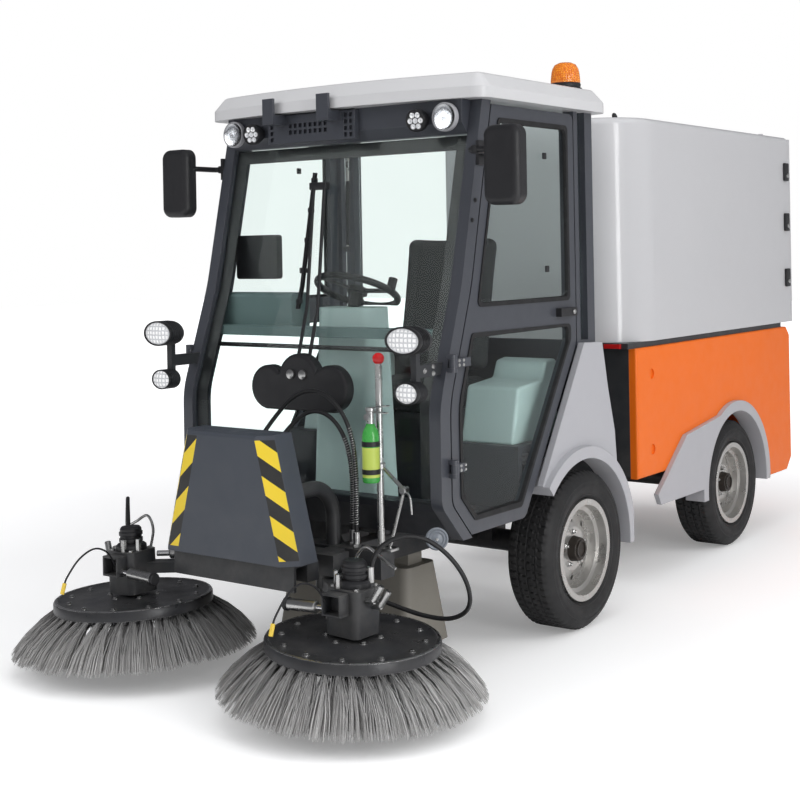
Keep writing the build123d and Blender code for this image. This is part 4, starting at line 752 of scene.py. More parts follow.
NUTS = 5
NUT_RING_R = 0.07


def wheel_trim(name, x, y, s):
    """Nuts round the hub, a valve and a cap ring."""
    shape = Shape()
    for k in range(NUTS):
        angle = tau * k / NUTS + 0.3
        spot = (x + NUT_RING_R * cos(angle), y + s * 0.034, HUB_Z + NUT_RING_R * sin(angle))
        shape.bolt(spot, (0, s, 0), 0.0105)
        shape.rod(spot, (spot[0], spot[1] + s * 0.018, spot[2]), 0.006, "steel", 12)
    ring = ((0.03, 0.0), (0.036, 0.0), (0.036, 0.006), (0.03, 0.006))
    shape.lathe(facing((x, y + s * 0.069, HUB_Z), (0, s, 0)), ring, "hub_dark", 32, loop=True)
    valve = Vector((x + 0.12, y + s * 0.04, HUB_Z + 0.1))
    shape.rod(valve, (x + 0.125, y + s * 0.075, HUB_Z + 0.104), 0.004, "rubber_black", 10)
    shape.piece(f"wheel_trim_{name}", f"wheel_{name}", "rim_silver")


for wheel in WHEELS:
    wheel_trim(*wheel)

# Brushes: a dished disc and clumps of flaring bristles
BRUSH_SPOT = Vector((1.778, 0.533, 0.222))
BRUSH_LEAN = radians(2.5)
BRISTLE_DROP = 0.156
CLUMPS = 44
CLUMP_ROWS = ((0.238, 0.362), (0.264, 0.408), (0.288, 0.448))
STRANDS = 38
STRAND_R = 0.0016
BRISTLE_REACH = 0.46
DISC_BOLTS = ((12, 0.245, 0.0325), (6, 0.092, 0.038))
SOCKET_R = 0.2885


def brush_place(s):
    """The brush's own frame on one side, Z along its shaft."""
    turn = Matrix.Rotation(-s * BRUSH_LEAN, 4, "X")
    return Matrix.Translation((BRUSH_SPOT.x, s * BRUSH_SPOT.y, BRUSH_SPOT.z)) @ turn


def strand(root, knee, tip):
    """A thin three-sided wire that bends from root through knee to tip, as points and faces."""
    points = []
    for t, width in ((0.0, 1.0), (0.35, 1.0), (0.7, 0.9), (1.0, 0.6)):
        spot = root * (1 - t) ** 2 + knee * 2 * t * (1 - t) + tip * t ** 2
        for k in range(3):
            points.append(spot + Vector((cos(tau * k / 3), sin(tau * k / 3), 0.0)) * STRAND_R * width)
    faces = [(9, 10, 11)]
    for a in (0, 3, 6):
        faces += [(a + k, a + 3 + k, a + 3 + (k + 1) % 3, a + (k + 1) % 3) for k in range(3)]
    return points, faces


def bristles(side, s):
    """All strands of one brush as one mesh."""
    place = brush_place(s)
    points = []
    faces = []
    for clump in range(CLUMPS):
        for row, (near, far) in enumerate(CLUMP_ROWS):
            angle = tau * (clump + row / 3 + random.uniform(-0.12, 0.12)) / CLUMPS
            drop = BRISTLE_DROP - random.uniform(0.0, 0.006)
            for _ in range(STRANDS):
                base = angle + random.gauss(0.0, 0.006) / near
                flare = angle + random.gauss(0.0, 0.02) / far + s * 0.05
                reach = min(far + random.gauss(0.0, 0.011), BRISTLE_REACH)
                start = near + random.uniform(-0.008, 0.008)
                low = -drop + abs(random.gauss(0.0, 0.007))
                root = Vector((start * cos(base), start * sin(base), 0.004))
                bend = start + (reach - start) * 0.62
                knee = Vector((cos(flare), sin(flare), 0.0)) * bend + Vector((0, 0, low * 0.34))
                tip = Vector((reach * cos(flare), reach * sin(flare), low))
                more, skin = strand(place @ root, place @ knee, place @ tip)
                faces += [tuple(len(points) + i for i in face) for face in skin]
                points += more
    mesh = bpy.data.meshes.new(f"bristles_{side}")
    mesh.from_pydata(points, [], faces)
    mesh.materials.append(FINISH["bristle_grey"])
    mesh.polygons.foreach_set("use_smooth", [True] * len(mesh.polygons))
    hang(f"bristles_{side}", mesh, f"brush_{side}", (f"brush_{side}",))


def brush_disc(side, s):
    """Dished plate with a bright rim, a clamp ring and bolts."""
    place = brush_place(s)
    up = place.to_3x3() @ Vector((0, 0, 1))
    plate = ((0.026, 0.0), (0.3, 0.0), (0.3, 0.03), (0.296, 0.036), (0.284, 0.038), (0.276, 0.033),
             (0.2, 0.031), (0.13, 0.034), (0.112, 0.038), (0.026, 0.038))
    bead = ((0.292, 0.0355), (0.2965, 0.0365), (0.2925, 0.0388), (0.287, 0.0388))
    shape = Shape()
    shape.lathe(place, plate, "disc_dark", 72, loop=True)
    shape.lathe(place, bead, "steel", 72, loop=True)
    for count, radius, height in DISC_BOLTS:
        for k in range(count):
            angle = tau * k / count
            shape.bolt(place @ Vector((radius * cos(angle), radius * sin(angle), height)), up, 0.0085)
    for k in range(CLUMPS):
        angle = tau * k / CLUMPS
        spot = place @ Vector((SOCKET_R * cos(angle), SOCKET_R * sin(angle), -0.003))
        shape.block(facing(spot, (0, 0, 1)), (0.016, 0.016, 0.012), "disc_dark", 0.002)
    shape.piece(f"brush_disc_{side}", f"brush_{side}", "bristle_grey", (f"brush_{side}",))


for side, s in SIDES:
    bristles(side, s)
    brush_disc(side, s)


# Lamps on the header
HEADER_TOP = 2.112
LAMP_DROP = 0.012
LAMP_OUTER_R = 0.054
LAMP_OUTER_Y = 0.533
LAMP_INNER_R = 0.043
LAMP_INNER_Y = 0.415
LAMP_INNER_AIM = (1, 0, -0.16)
LED_CUPS = 7
LAMP_X = 1.15
LAMP_Z = HEADER_TOP - LAMP_DROP - LAMP_OUTER_R
AHEAD = (1, 0, 0)


def roof_lamps():
    """Outer lamps with a clear lens over a reflector, inner ones with seven bright cups."""
    shape = Shape()
    for _, s in SIDES:
        place = facing((LAMP_X, s * LAMP_OUTER_Y, LAMP_Z), AHEAD)
        r = LAMP_OUTER_R
        shell = ((0, 0), (r * 0.8, 0), (r, 0.014), (r, 0.034), (r * 0.95, 0.0375), (r * 0.9, 0.034),
                 (0, 0.012))
        reflector = ((r * 0.9, 0.033), (r * 0.62, 0.02), (0, 0.0135), (0, 0.0125), (r * 0.9, 0.0315))
        bulb = ((0, 0.014), (0.012, 0.014), (0.012, 0.027), (0, 0.029))
        lens = ((r * 0.9, 0.0335), (r * 0.9, 0.036), (r * 0.7, 0.0415), (r * 0.4, 0.0445), (0, 0.0455),
                (0, 0.0425), (r * 0.7, 0.039))
        shape.lathe(place, shell, "fender_grey", 40)
        shape.lathe(place, reflector, "lamp_chrome", 18)
        shape.lathe(place, bulb, "lamp_led", 16)
        shape.lathe(place, lens, "lens_clear", 40)
        place = facing((LAMP_X, s * LAMP_INNER_Y, LAMP_Z), LAMP_INNER_AIM)
        r = LAMP_INNER_R
        housing = ((0, 0.002), (r * 0.7, 0.002), (r * 0.98, 0.03), (r, 0.052), (r * 0.94, 0.057),
                   (r * 0.88, 0.051), (0, 0.05))
        cup = ((0, 0.0495), (0.0105, 0.0495), (0.0105, 0.0535), (0.004, 0.051), (0, 0.0505))
        shape.lathe(place, housing, "trim_black", 36)
        for k in range(LED_CUPS):
            angle = tau * k / (LED_CUPS - 1)
            reach = 0 if k == LED_CUPS - 1 else r * 0.56
            spot = place @ Matrix.Translation((reach * cos(angle), reach * sin(angle), 0.0))
            shape.lathe(spot, cup, "lamp_led", 16)
    shape.piece("roof_lamp_units", "front", "lamp_clear", ("roof_lamps",))


roof_lamps()


# Work lamps: height, half width, half height and front of the upper and lower one
WORK_LAMPS = ((1.24, 0.075, 0.048, 1.56), (1.056, 0.05, 0.038, 1.545))
WORK_LAMP_Y = 0.605
FINS = 5
FIN_START = 0.02
FIN_PITCH = 0.009
BRACKET_BOLTS_XZ = ((1.4, 1.14), (1.4, 1.116), (1.452, 1.128))
BRACKET_Y = 0.617


def work_lamp_faces():
    """Bezels and bright cell lenses on the work lamps, and bolts on their brackets."""
    bezel = ((1.0, -0.012), (1.04, -0.008), (1.04, 0.004), (0.97, 0.008), (0.9, 0.004), (0.9, -0.012))
    lens = ((0, -0.001), (0.92, -0.001), (0.9, 0.003), (0.6, 0.008), (0.3, 0.0105), (0, 0.011))
    fin = ((0.98, 0), (1.035, 0.001), (1.035, 0.003), (0.98, 0.004))
    shape = Shape()
    for _, s in SIDES:
        for z, half_y, half_z, front in WORK_LAMPS:
            oval = Matrix.Diagonal((half_y, half_z, 1.0, 1.0))
            place = facing((front, s * WORK_LAMP_Y, z), AHEAD) @ oval
            shape.lathe(place, bezel, "trim_black", 48, loop=True)
            shape.lathe(place, lens, "lamp_led", 48)
            for k in range(FINS):
                place = facing((front - FIN_START - FIN_PITCH * k, s * WORK_LAMP_Y, z), AHEAD) @ oval
                shape.lathe(place, fin, "trim_black", 40, loop=True)
        for x, z in BRACKET_BOLTS_XZ:
            shape.bolt((x, s * BRACKET_Y, z), (0, s, 0), 0.007)
    shape.piece("work_lamp_faces", "front", "lamp_clear")


work_lamp_faces()


def beacon():
    """A black rubber base and a fluted amber lens."""
    low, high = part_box("beacon")
    middle = (low + high) / 2
    place = Matrix.Translation((middle.x, middle.y, low.z))
    base = ((0, 0), (0.068, 0), (0.068, 0.008), (0.062, 0.012), (0.064, 0.024), (0.061, 0.03), (0, 0.03))
    lens = ((0, 0.03), (0.0595, 0.03), (0.0615, 0.034), (0.0605, 0.05), (0.0575, 0.076), (0.0535, 0.092),
            (0.044, 0.108), (0.026, 0.1165), (0, 0.118))
    shape = Shape()
    shape.lathe(place, base, "trim_black", 48)
    shape.lathe(place, lens, "lamp_amber", 144, flutes=36, flute=0.012)
    shape.piece("beacon_lens", "front", "lamp_amber", ("beacon",))


beacon()


MIRROR_MIDDLES = (0.85, 0.766)
MIRROR_REAR_X = 1.2455
MIRROR_Z = 1.85
CLAMPS_XY = ((1.11, 0.672), (1.275, 0.73))


def mirror_faces():
    """Reflecting glass in a black rim on the rear of each mirror, and clamps on the arms."""
    shape = Shape()
    for (_, s), middle in zip(SIDES, MIRROR_MIDDLES):
        place = facing((MIRROR_REAR_X, s * middle, MIRROR_Z), (-1, 0, 0))
        shape.slab(place, rounded_outline(0.126, 0.26, 0.03), 0.003, "mirror_glass")
        for x, y in CLAMPS_XY:
            shape.rod((x, s * y, 1.895), (x, s * y, 1.925), 0.016, "trim_black")
    shape.piece("mirror_faces", "front", "trim_black")


mirror_faces()

# Windscreen: outer face as (X, Z), and the black border printed inside it
SCREEN_LINE = ((1.07, HEADER_TOP), (1.227, 1.42), (1.376, 1.0), (1.376, 0.64))
BORDER_IN_Y = 0.53
BORDER_OUT_Y = 0.588
BORDER_LOW = 0.66
BORDER_TALL = 1.32
BORDER_HIGH = BORDER_LOW + BORDER_TALL
BORDER_HEAD = 1.925
BORDER_T = 0.003
BORDER_BEHIND = 0.0125
BORDER_STEPS = 40
RAIL_X = 1.25
RAIL_Z = 1.18
STRUT_Y = 0.6


def screen_x(z):
    """X of the windscreen's outer face at a height."""
    for (xa, za), (xb, zb) in zip(SCREEN_LINE, SCREEN_LINE[1:]):
        if z >= zb:
            return xa + (xb - xa) * (z - za) / (zb - za)


def screen_border():
    """Black printed border inside the windscreen, a rail behind it, and the quarter windows' struts."""
    shape = Shape()
    heights = [BORDER_LOW + BORDER_TALL * k / BORDER_STEPS for k in range(BORDER_STEPS + 1)]
    upright = ((0, BORDER_IN_Y), (0, BORDER_OUT_Y), (BORDER_T, BORDER_OUT_Y), (BORDER_T, BORDER_IN_Y))
    for _, s in SIDES:
        rings = []
        for z in heights:
            front = screen_x(z) - BORDER_BEHIND
            rings.append([Vector((front - deep, s * y, z)) for deep, y in upright])
        shape.skin(rings, "trim_black")
    top = ((BORDER_HEAD, 0.0), (BORDER_HIGH, 0.0), (BORDER_HIGH, BORDER_T), (BORDER_HEAD, BORDER_T))
    rings = []
    for y in (-BORDER_OUT_Y, BORDER_OUT_Y):
        rings.append([Vector((screen_x(z) - BORDER_BEHIND - deep, y, z)) for z, deep in top])
    shape.skin(rings, "trim_black")
    shape.rod((RAIL_X, -0.589, RAIL_Z), (RAIL_X, 0.589, RAIL_Z), 0.009, "trim_black")
    for _, s in SIDES:
        shape.rod((0.336, s * STRUT_Y, 2.0), (0.352, s * STRUT_Y, 1.562), 0.007, "rim_silver")
        shape.rod((0.34, s * STRUT_Y, 1.88), (0.351, s * STRUT_Y, 1.58), 0.011, "trim_black")
        for x, z in ((0.336, 2.0), (0.352, 1.562)):
            shape.block(Matrix.Translation((x + 0.02, s * STRUT_Y, z)), (0.06, 0.022, 0.026), "trim_black",
                        0.003)
        for x, z in ((1.146, 1.734), (1.168, 1.66)):
            shape.bolt((x, s * 0.6405, z), (0, s, 0), 0.007, "trim_black")
    shape.piece("screen_border", "front", "trim_black")


screen_border()


def wiper_blade():
    """A jointed blade holder with its rubber, clamped to the twin arms."""
    shape = Shape()
    heights = [1.33 + 0.54 * k / 18 for k in range(19)]
    rubber = [Vector((screen_x(z) + 0.007, -0.118 - 0.02 * (z - 1.33), z)) for z in heights]
    spine = [spot + Vector((0.014, 0, 0)) for spot in rubber]
    shape.tube(rubber, 0.0045, "rubber_black", 8)
    shape.tube(spine, 0.0055, "trim_black", 8)
    for k in (1, 5, 9, 13, 17):
        shape.block(Matrix.Translation((rubber[k] + spine[k]) / 2), (0.026, 0.016, 0.02), "trim_black", 0.003)
    shape.block(Matrix.Translation((1.163, -0.088, 1.815)), (0.03, 0.086, 0.03), "trim_black", 0.004)
    nut = ((0, 0), (0.018, 0), (0.018, 0.008), (0.01, 0.012), (0, 0.012))
    for y in (-0.03, 0.03):
        shape.lathe(facing((1.4225, y, 1.09), AHEAD), nut, "steel", 24)
    shape.piece("wiper_blade", "front", "trim_black")


wiper_blade()


# Seat: stuffed pads with sewn channels, in place of the CAD blocks
PAD_VOXEL = 0.006
PAD_PRESSURE = 4.0
PAD_FRAMES = 20
PAD_SWELL = 0.007
CHANNEL_DEEP = 0.007
CHANNEL_HALF = 0.008


def pad_form(half, edge):
    """A rounded block whose sides pull in between its corners."""
    bm = bmesh.new()
    bmesh.ops.create_cube(bm, size=2.0)
    bmesh.ops.subdivide_edges(bm, edges=bm.edges[:], cuts=27, use_grid_fill=True)
    for vert in bm.verts:
        u, v, w = vert.co
        spot = Vector((u * half[0], v * half[1], w * half[2]))
        core = Vector(max(-h + edge, min(h - edge, c)) for c, h in zip(spot, half))
        away = spot - core
        spot = core + away.normalized() * edge if away.length > 1e-6 else spot
        spot.x *= 1 - 0.025 * (1 - v * v) * (abs(u) > 0.9)
        spot.y *= 1 - 0.025 * (1 - u * u) * (abs(v) > 0.9)
        vert.co = spot
    form = bpy.data.meshes.new("pad_form")
    bm.to_mesh(form)
    bm.free()
    return form


def applied(obj):
    """A new mesh of an object with its modifiers applied."""
    return bpy.data.meshes.new_from_object(obj.evaluated_get(bpy.context.evaluated_depsgraph_get()))


def stuffed(form):
    """The form's skin after a short cloth run under pressure, with each point's move capped."""
    block = bpy.data.objects.new("pad_form", form)
    scene.collection.objects.link(block)
    voxels = block.modifiers.new("voxels", "REMESH")
    voxels.mode = "VOXEL"
    voxels.voxel_size = PAD_VOXEL
    skin = applied(block)
    bpy.data.objects.remove(block)
    cover = bpy.data.objects.new("pad_cover", skin)
    scene.collection.objects.link(cover)
    cloth = cover.modifiers.new("stuffing", "CLOTH")
    cloth.settings.quality = 3
    cloth.settings.use_pressure = True
    cloth.settings.uniform_pressure_force = PAD_PRESSURE
    cloth.settings.effector_weights.gravity = 0.0
    for step in range(1, PAD_FRAMES + 1):
        scene.frame_set(step)
    grown = applied(cover)
    for vert, rest in zip(grown.vertices, skin.vertices):
        move = vert.co - rest.co
        vert.co = rest.co + move * min(1.0, PAD_SWELL / max(move.length, 1e-9))
    bpy.data.objects.remove(cover)
    scene.frame_set(1)
    return grown


def pad(name, node, place, half, edge, channels):
    """A stuffed pad with channels sewn across its Z side at the given Y."""
    form = pad_form([h - PAD_SWELL for h in half], edge)
    mesh = stuffed(form)
    mesh.name = name
    for vert in mesh.vertices:
        spot = vert.co.copy()
        if spot.z > 0.2 * half[2]:
            inward = 1 - (spot.x / half[0]) ** 6
            spot.z -= sum(CHANNEL_DEEP * exp(-(((spot.y - y) / CHANNEL_HALF) ** 2))
                          for y in channels) * inward
        vert.co = place @ spot
    mesh.polygons.foreach_set("use_smooth", [True] * len(mesh.polygons))
    mesh.materials.clear()
    mesh.materials.append(FINISH["seat_fabric"])
    obj = hang(name, mesh, "front", (node,))


BACK_PLACE = (Matrix.Translation((0.409, 0, 1.318)) @ Matrix.Rotation(radians(-10.4), 4, "Y")
              @ Matrix.Rotation(pi / 2, 4, "Y"))
pad("seat_pad", "seat_cushion", Matrix.Translation((0.64, 0, 0.9505)), (0.238, 0.243, 0.061), 0.045,
    (-0.15, 0.0, 0.15))
pad("back_pad", "seat_back", BACK_PLACE, (0.299, 0.237, 0.05), 0.042, (-0.14, 0.0, 0.14))


# Fire bottle with a pale band, valve, handles, gauge and straps
BOTTLE_X = 1.4733
BOTTLE_Y = 0.388
BOTTLE_R = 0.032
BAND_LOW = 0.02
BAND_HIGH = 0.128
STRAP_HEIGHTS = (0.04, 0.14)


def fire_bottle():
    """Detailed bottle in place of the CAD one."""
    low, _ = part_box("extinguisher")
    place = Matrix.Translation((BOTTLE_X, BOTTLE_Y, low.z))
    r = BOTTLE_R
    foot = ((0, 0), (0.028, 0), (r, 0.006), (r, BAND_LOW))
    band = ((0.0318, BAND_LOW), (r, BAND_LOW), (r, BAND_HIGH), (0.0318, BAND_HIGH))
    shoulder = ((r, BAND_HIGH), (r, 0.165), (0.027, 0.187), (0.017, 0.205), (0.0155, 0.212))
    valve = ((0, 0.21), (0.014, 0.21), (0.014, 0.255), (0.018, 0.258), (0.018, 0.27), (0, 0.27))
    gauge = ((0, 0), (0.013, 0), (0.013, 0.008), (0, 0.009))
    strap = ((0.0318, -0.009), (0.0335, -0.009), (0.0335, 0.009), (0.0318, 0.009))
    lever_place = place @ Matrix.Translation((0, 0.04, 0.274)) @ Matrix.Rotation(radians(8), 4, "X")
    gauge_place = place @ Matrix.Translation((0.016, 0, 0.236)) @ Matrix.Rotation(pi / 2, 4, "Y")
    shape = Shape()
    shape.lathe(place, foot, "bottle_green", 32)
    shape.lathe(place, band, "bottle_band", 32)
    shape.lathe(place, shoulder, "bottle_green", 32)
    shape.lathe(place, valve, "steel", 24)
    shape.block(lever_place, (0.016, 0.09, 0.006), "steel", 0.002)
    shape.block(place @ Matrix.Translation((0, 0.038, 0.254)), (0.014, 0.082, 0.006), "steel", 0.002)
    shape.lathe(gauge_place, gauge, "steel", 20)
    for z in STRAP_HEIGHTS:
        shape.lathe(place @ Matrix.Translation((0, 0, z)), strap, "trim_black", 32, loop=True)
    shape.piece("fire_bottle", "front", "bottle_green", ("extinguisher",))


fire_bottle()


# Door seals, hinge bolts and pane fasteners
PANE_SPLIT_Z = 1.29
SEAL_Y = 0.6405
SEAL_SECTION = ((0.008, -0.002), (0.008, 0.004), (-0.012, 0.003), (-0.016, -0.004),
                (-0.016, -0.012), (-0.004, -0.012))
HINGE_Y = 0.662
HINGE_BOLTS_X = (1.272, 1.3)
HINGES_Z = (0.77, 1.147)
FASTENERS_XZ = ((0.642, 1.918), (0.635, 1.469))


def turns_left(a, b, c):
    """Whether the way from a through b to c turns to the left."""
    return (b[0] - a[0]) * (c[1] - a[1]) - (b[1] - a[1]) * (c[0] - a[0]) > 0


def hull(points):
    """Outline of a convex set of points, counter-clockwise."""
    points = sorted(set(points))
    rims = []
    for run in (points, points[::-1]):
        rim = []
        for p in run:
            while len(rim) > 1 and not turns_left(rim[-2], rim[-1], p):
                rim.pop()
            rim.append(p)
        rims += rim[:-1]
    return rims


def door_trim(side, s):
    """Rubber round both panes, and bolts on the hinge leaves and the handle."""
    shape = Shape()
    panes = {True: [], False: []}
    for vert in frame["nodes"][f"door_glass_{side}"].data.vertices:
        panes[vert.co.z > PANE_SPLIT_Z].append((round(vert.co.x, 4), round(vert.co.z, 4)))
    for spots in panes.values():
        rim = [Vector((x, s * SEAL_Y, z)) for x, z in hull(spots)]
        middle = sum(rim, Vector()) / len(rim)
        rings = []
        for spot in rim:
            out = (spot - middle).normalized()
            rings.append([spot + out * a + Vector((0, s * b, 0)) for a, b in SEAL_SECTION])
        shape.skin(rings, "rubber_black", loop=True)
    for z in HINGES_Z:
        for x in HINGE_BOLTS_X:
            for up in (-0.008, 0.008):
                shape.bolt((x, s * HINGE_Y, z + up), (0, s, 0), 0.0045)
    shape.rod((0.47, s * 0.666, 1.292), (0.47, s * 0.672, 1.292), 0.01, "steel")
    for x, z in FASTENERS_XZ:
        shape.block(Matrix.Translation((x, s * HANDLE_Y, z)), (0.026, 0.008, 0.026), "trim_black", 0.003)
    shape.piece(f"door_trim_{side}", f"door_{side}", "trim_black")


for side, s in SIDES:
    door_trim(side, s)


# Brush motors: round head, flange bolts, fittings and the cylinders beside the arm
FLANGE_BOLTS_R = 0.07
PORT_R = 0.011
CRIMP_R = 0.0125
HOSE_NUT_R = 0.017
ELBOWS = ((1.8, 0.6, 0.395), (1.762, 0.6, 0.37))
BRACKET_SPOT = (1.871, 0.535, 0.385)
BRACKET_HALF = 0.034
RAM_X = 1.87
FEELER = ((1.89, 0.51, 0.395), (1.935, 0.505, 0.452), (2.0, 0.5, 0.476), (2.07, 0.5, 0.452),
          (2.125, 0.5, 0.4), (2.142, 0.5, 0.372))
CRANK = ((1.72, 0.5, 0.425), (1.708, 0.496, 0.5), (1.7, 0.536, 0.546), (1.7, 0.6, 0.516), (1.7, 0.66, 0.486))
ARM_WAY = (0.61, 0.79)
ARM_ROOT = (1.6, 0.302, 0.402)


def on_side(points, s):
    """Points of the left side, mirrored for the right one."""
    return [(x, s * y, z) for x, y, z in points]


def motor_fittings(side, s):
    """Hydraulic fittings on one brush arm."""
    place = brush_place(s)
    flange = ((0, 0.207), (0.058, 0.207), (0.058, 0.226), (0.05, 0.233), (0, 0.233))
    head = ((0, 0.23), (0.04, 0.23), (0.04, 0.238), (0.045, 0.24), (0.045, 0.252), (0.041, 0.254),
            (0.041, 0.262), (0.045, 0.264), (0.045, 0.276), (0.041, 0.278), (0.041, 0.288),
            (0.034, 0.296), (0, 0.298))
    shape = Shape()
    shape.lathe(place, flange, "trim_black", 32)
    for k in range(4):
        angle = pi / 4 + pi / 2 * k
        spot = place @ Vector((FLANGE_BOLTS_R * cos(angle), FLANGE_BOLTS_R * sin(angle), 0.208))
        shape.bolt(spot, (0, 0, 1), 0.009)
    shape.lathe(place, head, "trim_black", 32)
    for x, y in ((0.058, -0.02), (0.02, -0.058)):
        spot = place @ Vector((x, s * y, 0.206))
        shape.rod(spot, spot + Vector((0, 0, 0.05)), PORT_R, "steel", 6)
    for spot in on_side(ELBOWS, s):
        root = Vector(spot)
        knee = root + Vector((0, s * 0.046, 0))
        shape.rod(root, knee, 0.012, "steel", 6)
        shape.rod(knee - Vector((0, s * 0.008, 0)), knee + Vector((-0.012, s * 0.02, 0.052)), CRIMP_R,
                  "steel", 16)
    bracket = Vector((BRACKET_SPOT[0], s * BRACKET_SPOT[1], BRACKET_SPOT[2]))
    for up in (-BRACKET_HALF, BRACKET_HALF):
        shape.block(Matrix.Translation(bracket + Vector((0, 0, up))), (0.048, 0.08, 0.007), "chassis_black",
                    0.002)
    for over in (-0.0365, 0.0365):
        shape.block(Matrix.Translation(bracket + Vector((0, over, 0))), (0.048, 0.007, 0.068),
                    "chassis_black", 0.002)
    shape.rod((RAM_X, s * 0.332, 0.36), (RAM_X, s * 0.456, 0.366), 0.02, "steel")
    shape.rod((RAM_X, s * 0.456, 0.366), (RAM_X, s * 0.497, 0.368), 0.01, "lamp_chrome")
    shape.rod((RAM_X, s * 0.316, 0.36), (RAM_X, s * 0.334, 0.36), 0.0235, "trim_black")
    shape.tube(smooth_path(on_side(FEELER, s)), 0.0035, "trim_black", 8)
    shape.rod((2.139, s * 0.5, 0.378), (2.152, s * 0.5, 0.34), 0.0075, "tip_yellow", 14)
    shape.tube(smooth_path(on_side(CRANK, s)), 0.0055, "steel", 10)
    start = Vector((1.748, s * 0.59, 0.435))
    shape.rod(start, start + Vector((0, 0, 0.06)), CRIMP_R, "steel", 12)
    end = Vector((1.58, s * 0.462, 0.342))
    run = (end - Vector((1.542, s * 0.548, 0.308))).normalized()
    shape.rod(end - run * 0.05, end + run * 0.012, CRIMP_R, "steel", 12)
    arm = Vector((ARM_WAY[0], s * ARM_WAY[1], 0)).normalized()
    side_way = Vector((-arm.y, arm.x, 0)) * s
    base = Vector((ARM_ROOT[0], s * ARM_ROOT[1], ARM_ROOT[2])) + side_way * 0.052
    shape.rod(base, base + arm * 0.16, 0.021, "steel")
    shape.rod(base + arm * 0.16, base + arm * 0.21, 0.011, "lamp_chrome")
    shape.rod(base - arm * 0.012, base, 0.024, "trim_black")
    shape.piece(f"motor_fittings_{side}", f"brush_arm_{side}", "chassis_black")


for side, s in SIDES:
    motor_fittings(side, s)


# Crimped ends of the main hoses, horns and the lever's linkage
CARRIER_TOP = 0.471
LOW_ENDS_XY = ((1.452, 0.298), (1.428, 0.262))
BOX_REAR_X = 1.7045
BOX_ENDS_YZ = ((-0.04, 0.85), (0.04, 0.83))
HORN_WAY = (0.8, 0.6)
HORN_SPOT = (1.396, 0.617, 0.53)
LINK_X = 1.42


def front_fittings():
    """Hose crimps, horns and the lever's linkage on the front section."""
    horn = ((0, 0), (0.03, 0), (0.04, 0.008), (0.041, 0.014), (0.036, 0.02), (0.031, 0.017), (0.026, 0.02),
            (0.02, 0.0175), (0.012, 0.0205), (0.007, 0.024), (0, 0.025))
    shape = Shape()
    for x, y in LOW_ENDS_XY:
        shape.rod((x, y, CARRIER_TOP), (x, y, 0.53), CRIMP_R, "steel", 12)
        shape.rod((x, y, CARRIER_TOP), (x, y, 0.485), HOSE_NUT_R, "steel", 6)
    for y, z in BOX_ENDS_YZ:
        shape.rod((BOX_REAR_X, y, z), (1.648, y, z), CRIMP_R, "steel", 12)
        shape.rod((BOX_REAR_X, y, z), (1.69, y, z), HOSE_NUT_R, "steel", 6)
    for _, s in SIDES:
        face = Vector((HORN_WAY[0], s * HORN_WAY[1], 0.0))
        spot = Vector((HORN_SPOT[0], s * HORN_SPOT[1], HORN_SPOT[2]))
        shape.rod(spot - face * 0.03, spot + face * 0.004, 0.012, "trim_black")
        shape.lathe(facing(spot, face), horn, "horn_grey", 40)
        shape.bolt(spot + face * 0.0245, face, 0.004)
    joint = Vector((LINK_X, 0.495, 0.693))
    shape.rod((LINK_X, 0.398, 0.77), joint, 0.007, "steel", 12)
    shape.rod(joint, (LINK_X, 0.425, 0.475), 0.006, "steel", 12)
    shape.tube(smooth_path([joint, (1.424, 0.522, 0.67), (1.424, 0.53, 0.61)]), 0.005, "steel", 10)
    shape.rod(joint - Vector((0.016, 0, 0)), joint + Vector((0.016, 0, 0)), 0.015, "steel", 20)
    shape.rod((LINK_X, 0.388, 0.76), (LINK_X, 0.388, 0.785), 0.02, "steel", 20)
    shape.block(Matrix.Translation((LINK_X, 0.425, 0.474)), (0.05, 0.05, 0.012), "steel", 0.003)
    shape.piece("front_fittings", "front", "chassis_black")


front_fittings()


# Hopper: lifting handles, side latches, pressed ribs and a pull on the gate
LIFT_HANDLE = ((-0.35, 0.43, 2.146), (-0.35, 0.43, 2.163), (-0.4, 0.41, 2.168), (-0.45, 0.39, 2.163),
               (-0.45, 0.39, 2.146))
LATCH_X = -2.14
LATCHES_Z = (1.36, 1.67, 1.95)
RIBS_Z = (1.36, 1.63, 1.9)
PULL_Z = 1.235
PULL_OUT = 0.0055
GATE_BOLTS_Z = (1.2, 1.63, 2.05)


def hopper_fittings():
    """Small parts on the hopper."""
    shape = Shape()
    for _, s in SIDES:
        shape.tube(smooth_path(on_side(LIFT_HANDLE, s)), 0.007, "trim_black", 10)
        for z in LATCHES_Z:
            shape.block(Matrix.Translation((LATCH_X, s * 0.563, z)), (0.06, 0.014, 0.1), "trim_black", 0.005)
            shape.rod((LATCH_X, s * 0.566, z - 0.02), (LATCH_X, s * 0.578, z - 0.02), 0.012, "steel")
    shape.piece("hopper_fittings", "hopper", "body_silver")


def gate_fittings():
    """Pressed ribs, a pull bar and bolts on the gate."""
    low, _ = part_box("hopper_gate")
    rear = low.x
    shape = Shape()
    for z in RIBS_Z:
        place = facing((rear + 0.002, 0, z), (-1, 0, 0))
        shape.slab(place, rounded_outline(0.86, 0.1, 0.045), 0.006, "body_silver")
        shape.slab(place, rounded_outline(0.83, 0.072, 0.033), 0.01, "body_silver")
    for y in (-0.09, 0.09):
        shape.rod((rear + 0.001, y, PULL_Z), (rear - 0.006, y, PULL_Z), 0.007, "trim_black")
    shape.rod((rear - PULL_OUT, -0.11, PULL_Z), (rear - PULL_OUT, 0.11, PULL_Z), 0.006, "trim_black")
    for y in (-0.5, 0.5):
        for z in GATE_BOLTS_Z:
            shape.bolt((rear, y, z), (-1, 0, 0), 0.009)
    shape.piece("gate_fittings", "hopper_gate", "body_silver")


hopper_fittings()
gate_fittings()


